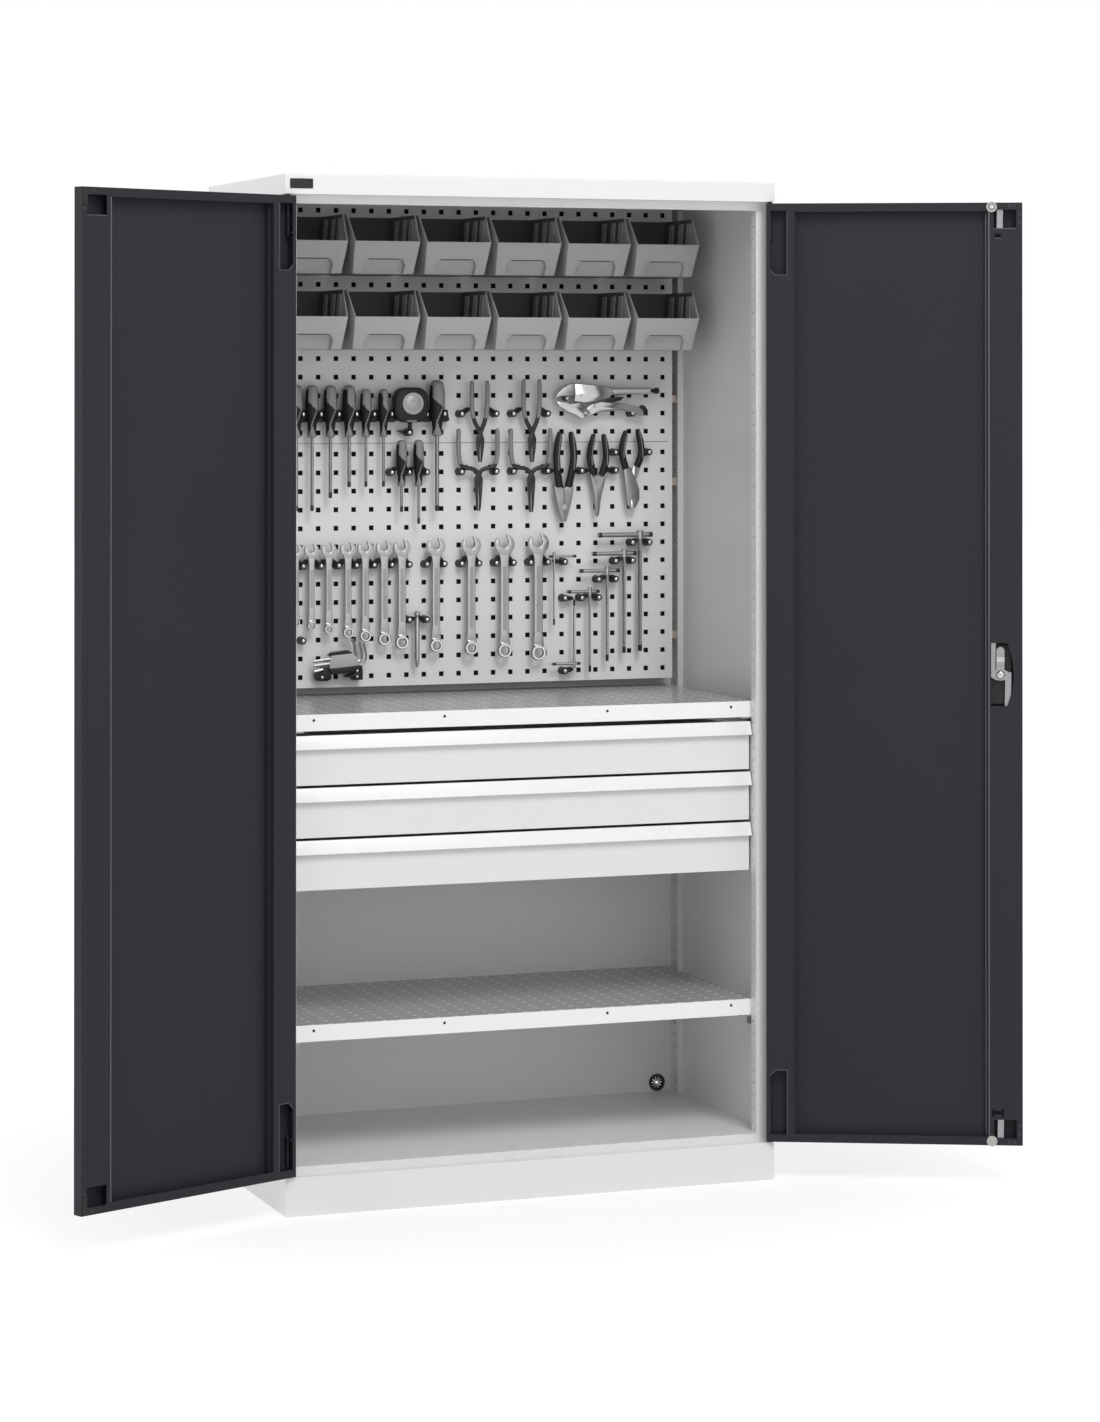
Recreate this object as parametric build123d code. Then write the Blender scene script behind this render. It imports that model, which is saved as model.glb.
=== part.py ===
from build123d import *
import os
from math import atan2, cos, degrees, pi, sin, sqrt

# Tool cabinet with two hinged doors, three drawers, two shelves and two perforated tool panels.
# Millimetres. +X right, +Y back, +Z up. Origin: centre of the cabinet's footprint, on the floor.
# It is drawn with both doors swung open, which is the pose at rest.

# ---- overall sizes
cabinet_width = 1023.0
cabinet_depth = 555.0
cabinet_height = 2000.0
sheet = 1.5                     # thickness of the folded sheet steel
running_gap = 0.3               # gap between pieces that move on each other

# ---- carcass
plinth_height = 75.0
plinth_inset = 2.5              # the plinth is this much narrower than the cover on each side
plinth_flange = 30.0
brace_width = 40.0
cover_height = 39.0
cover_corner_radius = 3.0
cover_front_flange = 50.0
cover_rim_flange = 20.0
front_setback = 25.0            # the front frame stands this far behind the cover's front
stile_width = 30.0
stile_return = 25.5
stile_hole_diameter = 5.0
stile_hole_setback = 17.5       # from the stile's front face to the row of holes
hole_pitch = 25.0               # pitch of the shelf holes and slots, up the cabinet
first_hole_height = 112.5
lintel_height = 17.0
lintel_depth = 24.0
floor_height = 90.0
back_recess = 32.5              # from the rear edge of the sides to the back panel
grommet_hole_diameter = 32.0
grommet_rim_diameter = 36.0
grommet_offset_x = 466.0
grommet_height = 18.5           # centre of the grommet above the floor pan
grommet_petals = 10
plate_width = 46.0
plate_height = 19.0
plate_thickness = 1.2
plate_offset_x = -479.0
plate_offset_z = 19.0           # below the cover's top

# ---- rear uprights and tool panels
upright_width = 12.0
upright_depth = 40.0
slot_length = 12.0
slot_width = 4.0
slot_tilt = 30.0
board_hole = 10.0
board_pitch = 38.0
board_columns = 25
board_rows = 13
board_margin = 22.0
board_depth = 18.0
board_above_worktop = 17.3
board_seam = 0.4
board_rim = 10.0
clip_height = 16.0
clip_rows = (1062.5, 1387.5, 1562.5, 1887.5)

# ---- shelves
shelf_half_width = 484.5
shelf_front = -225.0
shelf_thickness = 32.0
shelf_return = 15.0
worktop_height = 956.0
lower_shelf_height = 356.0
shelf_hole_diameter = 4.5
shelf_hole_positions = (-438.0, -171.0, 171.0, 438.0)
shelf_hole_drop = 11.2
bracket_thickness = 3.0
bracket_drop = 20.0
bracket_reach = 24.0
bracket_pin_diameter = 3.4
bracket_pin_drop = 11.5

# ---- drawers
drawer_count = 3
drawer_pitch = 101.5
top_handle_height = 915.5       # top edge of the upper drawer's handle
drawer_front_height = 96.5
drawer_front_half_width = 477.0
drawer_front_fold = 15.0
drawer_box_half_width = 468.5
drawer_box_height = 78.0
drawer_box_depth = 400.0
drawer_box_lift = 3.0           # the box's floor above the lower edge of the front
handle_half_width = 479.0
handle_height = 27.0
handle_reach = 12.0
handle_wall = 1.6
handle_root = 3.5
carrier_bottom = 612.0
carrier_height = 288.0
carrier_front_gap = 0.5
slide_length = 400.0
slide_height = 40.0
slide_offset = 28.0             # centre of the slide above the lower edge of the front
slide_outer_width = 10.5
slide_middle_width = 8.2
slide_lip = 1.5

# ---- doors
right_door_angle = 155.0
left_door_angle = 156.5
door_bottom = 77.5
door_height = 1880.0
door_thickness = 23.0
door_centre_gap = 2.0
pivot_inset = 7.5               # pivot axis from the door's hinge edge
pivot_setback = 7.0             # pivot axis behind the door's outer face
pivot_diameter = 5.0
pivot_clearance = 0.03
pivot_length = 78.0
bush_flange_diameter = 10.0
bush_diameter = 7.0
spring_turns = 7
spring_wire = 1.0
spring_pitch = 4.7
spring_diameter = 6.8           # mean diameter of the coils
spring_seat = 70.0              # from the door's end to the guide that the spring stands on
guide_thickness = 2.0
collar_diameter = 9.0
collar_thickness = 1.5
hinge_stile_width = 56.0
lock_stile_width = 68.0
stile_step = 5.0
stile_step_depth = 10.0
rail_width = 17.0
pocket_width = 33.0
pocket_height = 128.0
pocket_edge = 8.0               # from the hinge edge
pocket_end = 15.0               # from the door's top or bottom edge
pocket_chamfer = 11.0
window_width = 45.0
window_height = 37.0
window_edge = 12.0
window_end = 14.0
buffer_diameter = 21.0
buffer_thickness = 1.7
buffer_edge = 61.0
buffer_end = 8.5
corner_block_width = 22.0
corner_block_height = 34.0
corner_block_thickness = 1.5

# ---- lock
lock_height = 1015.0            # height of the lock's spindle
lock_edge = 44.0                # spindle from the door's free edge
lock_opening_top = 63.5         # the cut-out over the cam, from the spindle
lock_opening_bottom = 62.0
lock_opening_inner = 18.5
lock_opening_flat = 13.7
lock_opening_apex = 26.3
spindle_diameter = 10.0
housing_width = 44.0
housing_height = 118.0
housing_depth = 7.0
escutcheon_width = 44.0
escutcheon_height = 150.0
escutcheon_thickness = 7.0
lever_length = 118.0
lever_width = 24.0
lever_thickness = 11.0
lever_gap = 1.5
cylinder_diameter = 20.0
cylinder_offset = 48.0
cam_length = 44.0
cam_width = 22.5
cam_thickness = 2.5
arm_width = 16.0
arm_length = 56.0
arm_thickness = 2.0
arm_crank = 22.0                # from the spindle to the arm's step over the stile
arm_clearance = 1.0             # between the arm and the stile
rod_width = 12.0
rod_thickness = 3.0
rod_travel = 16.0
rod_offset = 16.0               # rod's end beside the spindle
rod_wall_clearance = 0.8
rod_end_gap = 3.0               # from the door's edge to the rod's end, drawn back
lock_screw_diameter = 14.0

# ---- bins
bin_columns = 6
bin_pitch = 152.0
bin_offset_x = 10.0
bin_base_heights = (1817.0, 1665.0)
bin_height = 120.0
bin_depth = 197.0
bin_base_depth = 165.0
bin_slope_depth = 44.0
bin_rim_width = 146.0
bin_base_width = 128.0
bin_lip_height = 65.0
bin_wall = 2.5
grip_width_top = 78.0
grip_width_bottom = 84.0
grip_height = 28.0
grip_depth = 9.0

# ---- hung tools; heights are above the floor, places along X from the cabinet's middle
tool_standoff = 22.0            # centre plane of the hung tools in front of the tool panels
holder_boss = 13.0
holder_arm = 9.0
holder_screw = 7.0
holder_rise = 10.0              # an arm's end above its screw
tool_row_heights = (1533.3, 1413.3, 1223.3)
grip_forward = 4.0              # the thick grips hang this far in front of the other tools
handle_waist = 0.62             # waist of a screwdriver's grip, as a share of its diameter
wrench_thickness = 6.0
ring_thickness = 9.0
small_wrench_places = (-358.0, -325.0, -288.0, -247.0, -210.0, -169.0, -131.0)
small_wrench_reach = 136.0      # from the jaw's lower side down to the ring's centre
small_wrench_growth = 6.7       # each next wrench is this much longer
large_wrench_places = (-57.0, 20.0, 93.0, 168.0)
large_wrench_reach = 180.0
large_wrench_growth = 7.0
wrench_rest_height = 1240.0     # the jaws rest on their holders at this height
circlip_grip = 9.0
plier_thickness = 9.0
tape_size = 66.0
tape_thickness = 24.0
tape_forward = 5.0              # the case hangs this far in front of the other tools
tape_place = (-114.0, 1552.0)
short_bar_place = -98.0
short_bar_diameter = 10.0
short_bar_top = 1121.0
short_bar_bottom = 1012.0
hex_holder_place = (-272.0, 1010.0)
hex_holder_width = 88.0
hex_holder_thickness = 22.0

# ---- derived places
half_width = cabinet_width / 2
front_y = -cabinet_depth / 2
rear_y = cabinet_depth / 2
frame_y = front_y + front_setback
wall_x = half_width - sheet
opening_x = half_width - stile_width
cover_bottom = cabinet_height - cover_height
plinth_x = half_width - plinth_inset
back_y = rear_y - back_recess
upright_y = back_y - upright_depth
upright_x = wall_x - upright_width
slot_y = upright_y + upright_depth / 2
return_y = frame_y + stile_return
board_y = upright_y - board_depth
board_width = (board_columns - 1) * board_pitch + 2 * board_margin
board_height = (board_rows - 1) * board_pitch + 2 * board_margin
board_bottom = worktop_height + board_above_worktop
door_width = half_width - door_centre_gap / 2
door_inner_y = front_y + door_thickness
door_top = door_bottom + door_height
pivot_x = half_width - pivot_inset
pivot_y = front_y + pivot_setback
tool_y = board_y - tool_standoff
lock_u = door_width - lock_edge


def block(x0, x1, y0, y1, z0, z1):
    """A box between two corners."""
    size = Box(abs(x1 - x0), abs(y1 - y0), abs(z1 - z0))
    return Pos((x0 + x1) / 2, (y0 + y1) / 2, (z0 + z1) / 2) * size


def rod(diameter, start, end):
    """A round bar from one point to another."""
    axis = Vector(*end) - Vector(*start)
    plane = Plane(origin=start, z_dir=axis)
    return extrude(plane * Circle(diameter / 2), amount=axis.length)


def holed_sheet(plane, width, height, thickness, holes):
    """A rectangular sheet on a plane, with flat shapes cut out of it."""
    outline = Rectangle(width, height).face().outer_wire()
    cuts = [hole.face().outer_wire() for hole in holes]
    return extrude(plane * Face(outline, cuts), amount=thickness)


def front_plane(x, y, z):
    """A plane that faces the front, with its own X along X and its own Y upwards."""
    return Plane(origin=(x, y, z), x_dir=(1, 0, 0), z_dir=(0, -1, 0))


def side_plane(x, y, z):
    """A plane that faces +X, with its own X along Y and its own Y upwards."""
    return Plane(origin=(x, y, z), x_dir=(0, 1, 0), z_dir=(1, 0, 0))


def save(name, *solids):
    """Write one sub-part, as separate named solids."""
    group = Compound(label=name, children=[solid for solid in solids])
    export_step(group, os.path.join("parts", name + ".step"))


def hole_heights(low, high):
    """Heights of the shelf holes that lie between two heights."""
    count = int((cabinet_height - first_hole_height) / hole_pitch)
    heights = [first_hole_height + hole_pitch * step for step in range(count)]
    return [height for height in heights if low < height < high]


# ---- carcass ---------------------------------------------------------------------------------


def plinth():
    """Folded ring with flanges at the top and the foot, and a brace across the middle."""
    outer = block(-plinth_x, plinth_x, front_y, rear_y, 0, plinth_height)
    inner_x, inner_front, inner_rear = plinth_x - sheet, front_y + sheet, rear_y - sheet
    inner = block(-inner_x, inner_x, inner_front, inner_rear, sheet, plinth_height - sheet)
    hole_x, hole_front, hole_rear = (plinth_x - plinth_flange, front_y + plinth_flange, rear_y - plinth_flange)
    hole = block(-hole_x, hole_x, hole_front, hole_rear, 0, plinth_height)
    ring = outer - inner - hole
    half = brace_width / 2
    foot = block(-hole_x, hole_x, -half, half, 0, sheet)
    web = block(-inner_x, inner_x, -half, -half + sheet, sheet, plinth_height - sheet)
    cap = block(-hole_x, hole_x, -half, half, plinth_height - sheet, plinth_height)
    ring = ring + foot + web + cap
    for side in (-1, 1):
        ring -= rod(bush_diameter, (side * pivot_x, pivot_y, 0.5 * plinth_height),
                    (side * pivot_x, pivot_y, plinth_height))
        ring -= lock_slot(side, plinth_height - 2 * sheet, plinth_height)
    return ring


def lock_slot(side, z0, z1):
    """The slot that a lock rod enters, in the plinth or in the cover."""
    centre = side * (door_centre_gap / 2 + lock_edge)
    half = rod_width / 2 + 3
    rod_y = rod_plane_y()
    return block(centre - half, centre + half, rod_y - 2, rod_y + rod_thickness + 2, z0, z1)


def floor_pan():
    """The bottom sheet, with a lip that shows between the stiles and rims that stand on the plinth."""
    top = floor_height
    pan = block(-wall_x, wall_x, return_y + carrier_front_gap, rear_y, top - sheet, top)
    pan += block(-opening_x, opening_x, frame_y, return_y + carrier_front_gap, top - sheet, top)
    pan += block(-opening_x, opening_x, frame_y, frame_y + sheet, plinth_height, top)
    pan += block(-wall_x, wall_x, rear_y - sheet, rear_y, plinth_height, top)
    for side in (-1, 1):
        pan += block(side * (wall_x - sheet), side * wall_x, return_y + carrier_front_gap, rear_y,
                     plinth_height, top)
    return pan


def side_panel(side):
    """Side sheet folded into the front stile and its perforated return flange."""
    z0, z1 = plinth_height, cover_bottom
    panel = block(side * wall_x, side * half_width, frame_y, rear_y, z0, z1)
    panel += block(side * opening_x, side * half_width, frame_y, frame_y + sheet, z0, z1)
    depth, height = stile_return - sheet, z1 - z0
    centre_y, centre_z = frame_y + sheet + depth / 2, (z0 + z1) / 2
    hole_y = frame_y + stile_hole_setback - centre_y
    holes = [Pos(hole_y, z - centre_z) * Circle(stile_hole_diameter / 2)
             for z in hole_heights(floor_height, cover_bottom - lintel_height)]
    start_x = opening_x if side > 0 else -opening_x - sheet
    flange = holed_sheet(side_plane(start_x, centre_y, centre_z), depth, height, sheet, holes)
    return panel + flange


def back_panel():
    """Back sheet with its rims turned to the rear, and the hole of the cable grommet."""
    z0, z1 = floor_height, cover_bottom
    centre_z = (z0 + z1) / 2
    hole = Pos(grommet_offset_x, floor_height + grommet_height - centre_z) * Circle(grommet_hole_diameter / 2)
    panel = holed_sheet(front_plane(0, back_y + sheet, centre_z), 2 * wall_x, z1 - z0, sheet, [hole])
    for side in (-1, 1):
        panel += block(side * (wall_x - sheet), side * wall_x, back_y + sheet, rear_y, z0, z1)
    panel += block(-wall_x, wall_x, back_y + sheet, rear_y, z0, z0 + sheet)
    panel += block(-wall_x, wall_x, back_y + sheet, rear_y, z1 - sheet, z1)
    return panel


def top_cover():
    """Shallow tray, upside down, whose front flange closes the space above the doors."""
    outer = block(-half_width, half_width, front_y, rear_y, cover_bottom, cabinet_height)
    edges = outer.edges().filter_by(Axis.Z) + outer.faces().sort_by(Axis.Z)[-1].edges()
    outer = fillet(edges, cover_corner_radius)
    inner = block(-wall_x, wall_x, front_y + sheet, rear_y - sheet, cover_bottom + sheet, cabinet_height - sheet)
    inner = fillet(inner.edges().filter_by(Axis.Z), cover_corner_radius - sheet)
    mouth_x = half_width - cover_rim_flange
    mouth = block(-mouth_x, mouth_x, front_y + cover_front_flange, rear_y - cover_rim_flange,
                  cover_bottom, cover_bottom + sheet)
    cover = outer - inner - mouth
    for side in (-1, 1):
        cover -= rod(bush_diameter, (side * pivot_x, pivot_y, cover_bottom),
                     (side * pivot_x, pivot_y, cover_bottom + sheet))
        cover -= lock_slot(side, cover_bottom, cover_bottom + sheet)
    return cover


def front_lintel():
    """Channel between the stiles, under the cover."""
    z0, z1 = cover_bottom - lintel_height, cover_bottom
    lintel = block(-opening_x, opening_x, frame_y, frame_y + sheet, z0, z1)
    lintel += block(-opening_x, opening_x, frame_y, frame_y + lintel_depth, z0, z0 + sheet)
    lintel += block(-opening_x, opening_x, frame_y, frame_y + lintel_depth, z1 - sheet, z1)
    return lintel


def name_plate():
    """Blank plate at the left end of the cover's front."""
    z = cabinet_height - plate_offset_z
    outline = RectangleRounded(plate_width, plate_height, 2)
    return extrude(front_plane(plate_offset_x, front_y, z) * outline, amount=plate_thickness)


def rear_upright(side):
    """Channel against the back panel, with a slotted web that faces the middle of the cabinet."""
    z0, z1 = floor_height, cover_bottom
    upright = block(side * upright_x, side * wall_x, upright_y, upright_y + sheet, z0, z1)
    upright += block(side * upright_x, side * wall_x, back_y - sheet, back_y, z0, z1)
    depth, height = upright_depth - 2 * sheet, z1 - z0
    centre_z = (z0 + z1) / 2
    slots = [Pos(0, z - centre_z) * Rot(0, 0, slot_tilt) * SlotOverall(slot_length, slot_width)
             for z in hole_heights(z0 + slot_length, z1 - slot_length)]
    start_x = upright_x if side > 0 else -upright_x - sheet
    web = holed_sheet(side_plane(start_x, slot_y, centre_z), depth, height, sheet, slots)
    return upright + web


def tool_board(bottom):
    """Perforated panel with its rims turned to the rear."""
    height = board_height - board_seam
    holes = [Pos(board_pitch * (column - (board_columns - 1) / 2), board_pitch * (row - (board_rows - 1) / 2))
             * Rectangle(board_hole, board_hole)
             for column in range(board_columns) for row in range(board_rows)]
    half, top = board_width / 2, bottom + height
    board = holed_sheet(front_plane(0, board_y + sheet, bottom + height / 2), board_width, height, sheet, holes)
    for side in (-1, 1):
        board += block(side * (half - sheet), side * half, board_y + sheet, upright_y, bottom, top)
    board += block(-half, half, board_y + sheet, board_y + board_rim, bottom, bottom + sheet)
    board += block(-half, half, board_y + sheet, board_y + board_rim, top - sheet, top)
    return board


def board_clip(side, z):
    """Bent clip from the rim of a tool panel to the web of an upright, with a peg through its slot."""
    half, z0, z1 = board_width / 2, z - clip_height / 2, z + clip_height / 2
    rear = upright_y + 14
    clip = block(side * half, side * (half + sheet), upright_y - board_rim, rear, z0, z1)
    clip += block(side * half, side * upright_x, rear - sheet, rear, z0, z1)
    clip += block(side * (upright_x - sheet), side * upright_x, rear - sheet, slot_y + 8, z0, z1)
    clip += rod(bracket_pin_diameter, (side * (upright_x - 0.5), slot_y, z), (side * (upright_x + 2.5), slot_y, z))
    return clip


def shelf(top):
    """Tray, upside down, with four small holes in its front edge."""
    bottom = top - shelf_thickness
    rear = back_y - 2
    body = block(-shelf_half_width, shelf_half_width, shelf_front, rear, bottom, top)
    hollow = block(-shelf_half_width + sheet, shelf_half_width - sheet, shelf_front + sheet, rear - sheet,
                   bottom + sheet, top - sheet)
    mouth_x = shelf_half_width - shelf_return
    mouth = block(-mouth_x, mouth_x, shelf_front + shelf_return, rear - shelf_return, bottom, bottom + sheet)
    body = body - hollow - mouth
    for x in shelf_hole_positions:
        z = top - shelf_hole_drop
        body -= rod(shelf_hole_diameter, (x, shelf_front - 1, z), (x, shelf_front + sheet + 1, z))
    return body


def shelf_brackets(top):
    """Two front and two rear brackets that carry one shelf."""
    bottom = top - shelf_thickness
    z0, pin_z = bottom - bracket_drop, bottom - bracket_pin_drop
    hole_y = frame_y + stile_hole_setback
    brackets = []
    for side in (-1, 1):
        x0 = opening_x + sheet
        front = block(side * x0, side * (x0 + bracket_thickness), hole_y - 8, shelf_front + bracket_reach, z0, bottom)
        front += block(side * (x0 - bracket_reach), side * x0, return_y + 1, shelf_front + bracket_reach,
                       bottom - bracket_thickness, bottom)
        front += rod(bracket_pin_diameter, (side * (x0 - sheet - 0.8), hole_y, pin_z), (side * (x0 + 1), hole_y, pin_z))
        x1 = upright_x
        rear = block(side * (x1 - bracket_thickness), side * x1, upright_y + 3, back_y - 3, z0, bottom)
        rear += block(side * (x1 - bracket_reach - 8), side * (x1 - bracket_thickness), upright_y + 3, back_y - 3,
                      bottom - bracket_thickness, bottom)
        rear += rod(bracket_pin_diameter, (side * (x1 - 1), slot_y, pin_z), (side * (x1 + 2.5), slot_y, pin_z))
        brackets += [front, rear]
    return brackets


def cable_grommet():
    """Rubber grommet with a ring of petals over its hole."""
    z = floor_height + grommet_height
    rim = extrude(front_plane(grommet_offset_x, back_y, z) * Circle(grommet_rim_diameter / 2), amount=2)
    neck_radius = grommet_hole_diameter / 2 - 0.05
    neck = extrude(front_plane(grommet_offset_x, back_y + 4, z) * Circle(neck_radius), amount=4)
    body = rim + neck
    bore = extrude(front_plane(grommet_offset_x, back_y + 5, z) * Circle(neck_radius - 3), amount=8)
    body -= bore
    web = extrude(front_plane(grommet_offset_x, back_y + 1.2, z) * Circle(neck_radius - 2.9), amount=1.2)
    for petal in range(grommet_petals):
        cut = Rot(0, 0, petal * 360 / grommet_petals) * (Pos(7.2, 0) * Rectangle(10, 0.8))
        web -= extrude(front_plane(grommet_offset_x, back_y + 2, z) * cut, amount=3)
    web -= extrude(front_plane(grommet_offset_x, back_y + 2, z) * Circle(2.4), amount=3)
    return body + web


def pivot_bushes():
    """Flanged bushes of the door pins, under the cover and on the plinth."""
    bushes = []
    bore = pivot_diameter + 2 * pivot_clearance
    neck = bush_diameter - 0.1
    for side in (-1, 1):
        x = side * pivot_x
        upper = rod(bush_flange_diameter, (x, pivot_y, door_top + running_gap), (x, pivot_y, cover_bottom))
        upper += rod(neck, (x, pivot_y, cover_bottom), (x, pivot_y, cover_bottom + sheet + 1))
        upper -= rod(bore, (x, pivot_y, door_top), (x, pivot_y, cover_bottom + sheet + 2))
        lower = rod(bush_flange_diameter, (x, pivot_y, plinth_height), (x, pivot_y, door_bottom - running_gap))
        lower += rod(neck, (x, pivot_y, plinth_height - sheet - 1), (x, pivot_y, plinth_height))
        lower -= rod(bore, (x, pivot_y, plinth_height - sheet - 2), (x, pivot_y, door_bottom))
        bushes += [upper, lower]
    return bushes


# ---- drawers ---------------------------------------------------------------------------------


def drawer_low(index):
    """Lower edge of a drawer's front; drawer 1 is the top one."""
    return top_handle_height - (index - 1) * drawer_pitch - drawer_front_height


def drawer_front(index):
    """Front sheet with a turned-in lower edge."""
    z0 = drawer_low(index)
    half, y0 = drawer_front_half_width, shelf_front
    front = block(-half, half, y0, y0 + sheet, z0, z0 + drawer_front_height)
    lower_half = drawer_box_half_width - 3.5
    front += block(-lower_half, lower_half, y0, y0 + drawer_front_fold, z0, z0 + sheet)
    return front


def drawer_handle(index):
    """Full-width rail that slopes out from the front's top edge, open below for the fingers."""
    top = drawer_low(index) + drawer_front_height
    y0, reach, low = shelf_front, handle_reach, handle_height
    points = [(0, 0), (-handle_wall, 0), (-reach, -low + 2), (-reach + 0.5, -low), (-reach + 2.2, -low),
              (-handle_wall - 0.4, -handle_root), (0, -handle_root)]
    outline = Polyline(*[(y0 + y, top + z) for y, z in points], close=True)
    profile = side_plane(-handle_half_width, 0, 0) * make_face(outline)
    return extrude(profile, amount=2 * handle_half_width)


def drawer_box(index):
    """Open box behind the front."""
    z0 = drawer_low(index) + drawer_box_lift
    half, y0 = drawer_box_half_width, shelf_front + sheet
    y1, z1 = y0 + drawer_box_depth, z0 + drawer_box_height
    outer = block(-half, half, y0, y1, z0, z1)
    inner = block(-half + sheet, half - sheet, y0 + sheet, y1 - sheet, z0 + sheet, z1)
    return outer - inner


def channel(side, inner_x, outer_x, half_height, y0, y1, z):
    """Slide member: a C whose web lies at outer_x and whose lips point to the drawer."""
    member = block(side * (outer_x - slide_lip), side * outer_x, y0, y1, z - half_height, z + half_height)
    for end in (-1, 1):
        tip = end * half_height
        member += block(side * inner_x, side * outer_x, y0, y1, z + tip, z + tip - end * slide_lip)
    return member


def slide_member(side, level, index):
    """One member of a drawer's slide: level 0 on the carrier, 1 in the middle, 2 on the drawer."""
    y0 = shelf_front + 3
    z = drawer_low(index) + slide_offset
    step = slide_lip + running_gap
    outer_x = opening_x - level * step
    inner_x = drawer_box_half_width + (slide_outer_width - slide_middle_width if level < 2 else 0)
    half_height = slide_height / 2 - level * step
    if level < 2:
        return channel(side, inner_x, outer_x, half_height, y0, y0 + slide_length, z)
    web = block(side * inner_x, side * (inner_x + slide_lip), y0, y0 + slide_length, z - half_height, z + half_height)
    for end in (-1, 1):
        tip = z + end * half_height
        web += block(side * inner_x, side * outer_x, y0, y0 + slide_length, tip, tip - end * slide_lip)
    return web


def drawer_carrier(side):
    """Upright sheet that carries the slides, flanged to the side panel."""
    z0, z1 = carrier_bottom, carrier_bottom + carrier_height
    y0, y1 = return_y + carrier_front_gap, upright_y - 1
    plate = block(side * opening_x, side * (opening_x + sheet), y0, y1, z0, z1)
    plate += block(side * opening_x, side * wall_x, y0, y1, z0, z0 + sheet)
    plate += block(side * opening_x, side * wall_x, y0, y1, z1 - sheet, z1)
    return plate


# ---- doors, drawn closed and then swung open ---------------------------------------------------


def door_block(side, u0, u1, y0, y1, z0, z1):
    """A box in a closed door; u runs from the hinge edge to the free edge."""
    return block(side * (half_width - u0), side * (half_width - u1), y0, y1, z0, z1)


def swing(side, solid):
    """Turn a closed door's piece about its pivot to the pose at rest."""
    axis = Axis((side * pivot_x, pivot_y, 0), (0, 0, 1))
    return solid.rotate(axis, right_door_angle if side > 0 else -left_door_angle)


def door_skin(side):
    """Outer sheet folded on all four edges, with a rail along the top and the bottom."""
    width, z0, z1 = door_width, door_bottom, door_top
    outer = door_block(side, 0, width, front_y, door_inner_y, z0, z1)
    inner = door_block(side, sheet, width - sheet, front_y + sheet, door_inner_y - sheet, z0 + sheet, z1 - sheet)
    mouth = door_block(side, sheet, width - sheet, door_inner_y - sheet, door_inner_y, z0 + rail_width, z1 - rail_width)
    gap = running_gap / 3
    ends = [door_block(side, u0, u1, door_inner_y - sheet, door_inner_y, z0 + sheet, z1 - sheet)
            for u0, u1 in ((sheet, hinge_stile_width + gap), (width - lock_stile_width - gap, width - sheet))]
    skin = outer - inner - mouth - ends[0] - ends[1]
    x = side * pivot_x
    bore = pivot_diameter + 0.4
    skin -= rod(bore, (x, pivot_y, z0 - 1), (x, pivot_y, z0 + sheet + 1))
    skin -= rod(bore, (x, pivot_y, z1 - sheet - 1), (x, pivot_y, z1 + 1))
    if side > 0:
        half = rod_width / 2 + rod_wall_clearance
        y0, y1 = rod_plane_y() - rod_wall_clearance, rod_plane_y() + rod_thickness + rod_wall_clearance
        skin -= door_block(side, lock_u - half, lock_u + half, y0, y1, z0 - 1, z0 + sheet + 1)
        skin -= door_block(side, lock_u - half, lock_u + half, y0, y1, z1 - sheet - 1, z1 + 1)
        spindle = spindle_diameter + 2 * running_gap
        lock_x = half_width - lock_u
        skin -= rod(spindle, (lock_x, front_y - 1, lock_height), (lock_x, front_y + sheet + 1, lock_height))
    return skin


def stile(side, edge_u, inner_u):
    """Channel welded in a door: a cover sheet at the inner face, and a stepped wall down to the skin."""
    z0, z1 = door_bottom + sheet, door_top - sheet
    toward = 1 if inner_u > edge_u else -1
    y0, y1 = front_y + sheet, door_inner_y
    step_y = y1 - stile_step_depth
    step_u = inner_u + toward * stile_step
    body = door_block(side, edge_u, inner_u, y1 - sheet, y1, z0, z1)
    z0, z1 = door_bottom + rail_width, door_top - rail_width
    body += door_block(side, inner_u - toward * sheet, inner_u, step_y - sheet, y1, z0, z1)
    body += door_block(side, inner_u - toward * sheet, step_u, step_y - sheet, step_y, z0, z1)
    body += door_block(side, step_u - toward * sheet, step_u, y0, step_y, z0, z1)
    return body


def pocket(side, end):
    """Cut-out in the hinge stile beside a pivot pin; its far corner at the hinge edge is chamfered."""
    edge = door_top if end > 0 else door_bottom
    z0, z1 = edge - end * pocket_end, edge - end * (pocket_end + pocket_height)
    u0, u1 = pocket_edge, pocket_edge + pocket_width
    cut = door_block(side, u0, u1, door_inner_y - 2 * sheet, door_inner_y + 1, z0, z1)
    corner = [e for e in cut.edges().filter_by(Axis.Y)
              if abs(e.center().Z - z1) < 1 and abs(e.center().X - side * (half_width - u0)) < 1]
    return chamfer(corner, pocket_chamfer)


def hinge_stile(side):
    """Hinge-side stile with a pocket and a guide for each pivot pin."""
    body = stile(side, sheet, hinge_stile_width)
    x = side * pivot_x
    for end in (-1, 1):
        body -= pocket(side, end)
        edge = door_top if end > 0 else door_bottom
        z0, z1 = edge - end * spring_seat, edge - end * (spring_seat + guide_thickness)
        guide = door_block(side, sheet, pocket_edge + 5, front_y + sheet, door_inner_y - sheet / 2, z0, z1)
        guide -= rod(pivot_diameter + 0.4, (x, pivot_y, min(z0, z1) - 1), (x, pivot_y, max(z0, z1) + 1))
        body += guide
    return body


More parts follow.
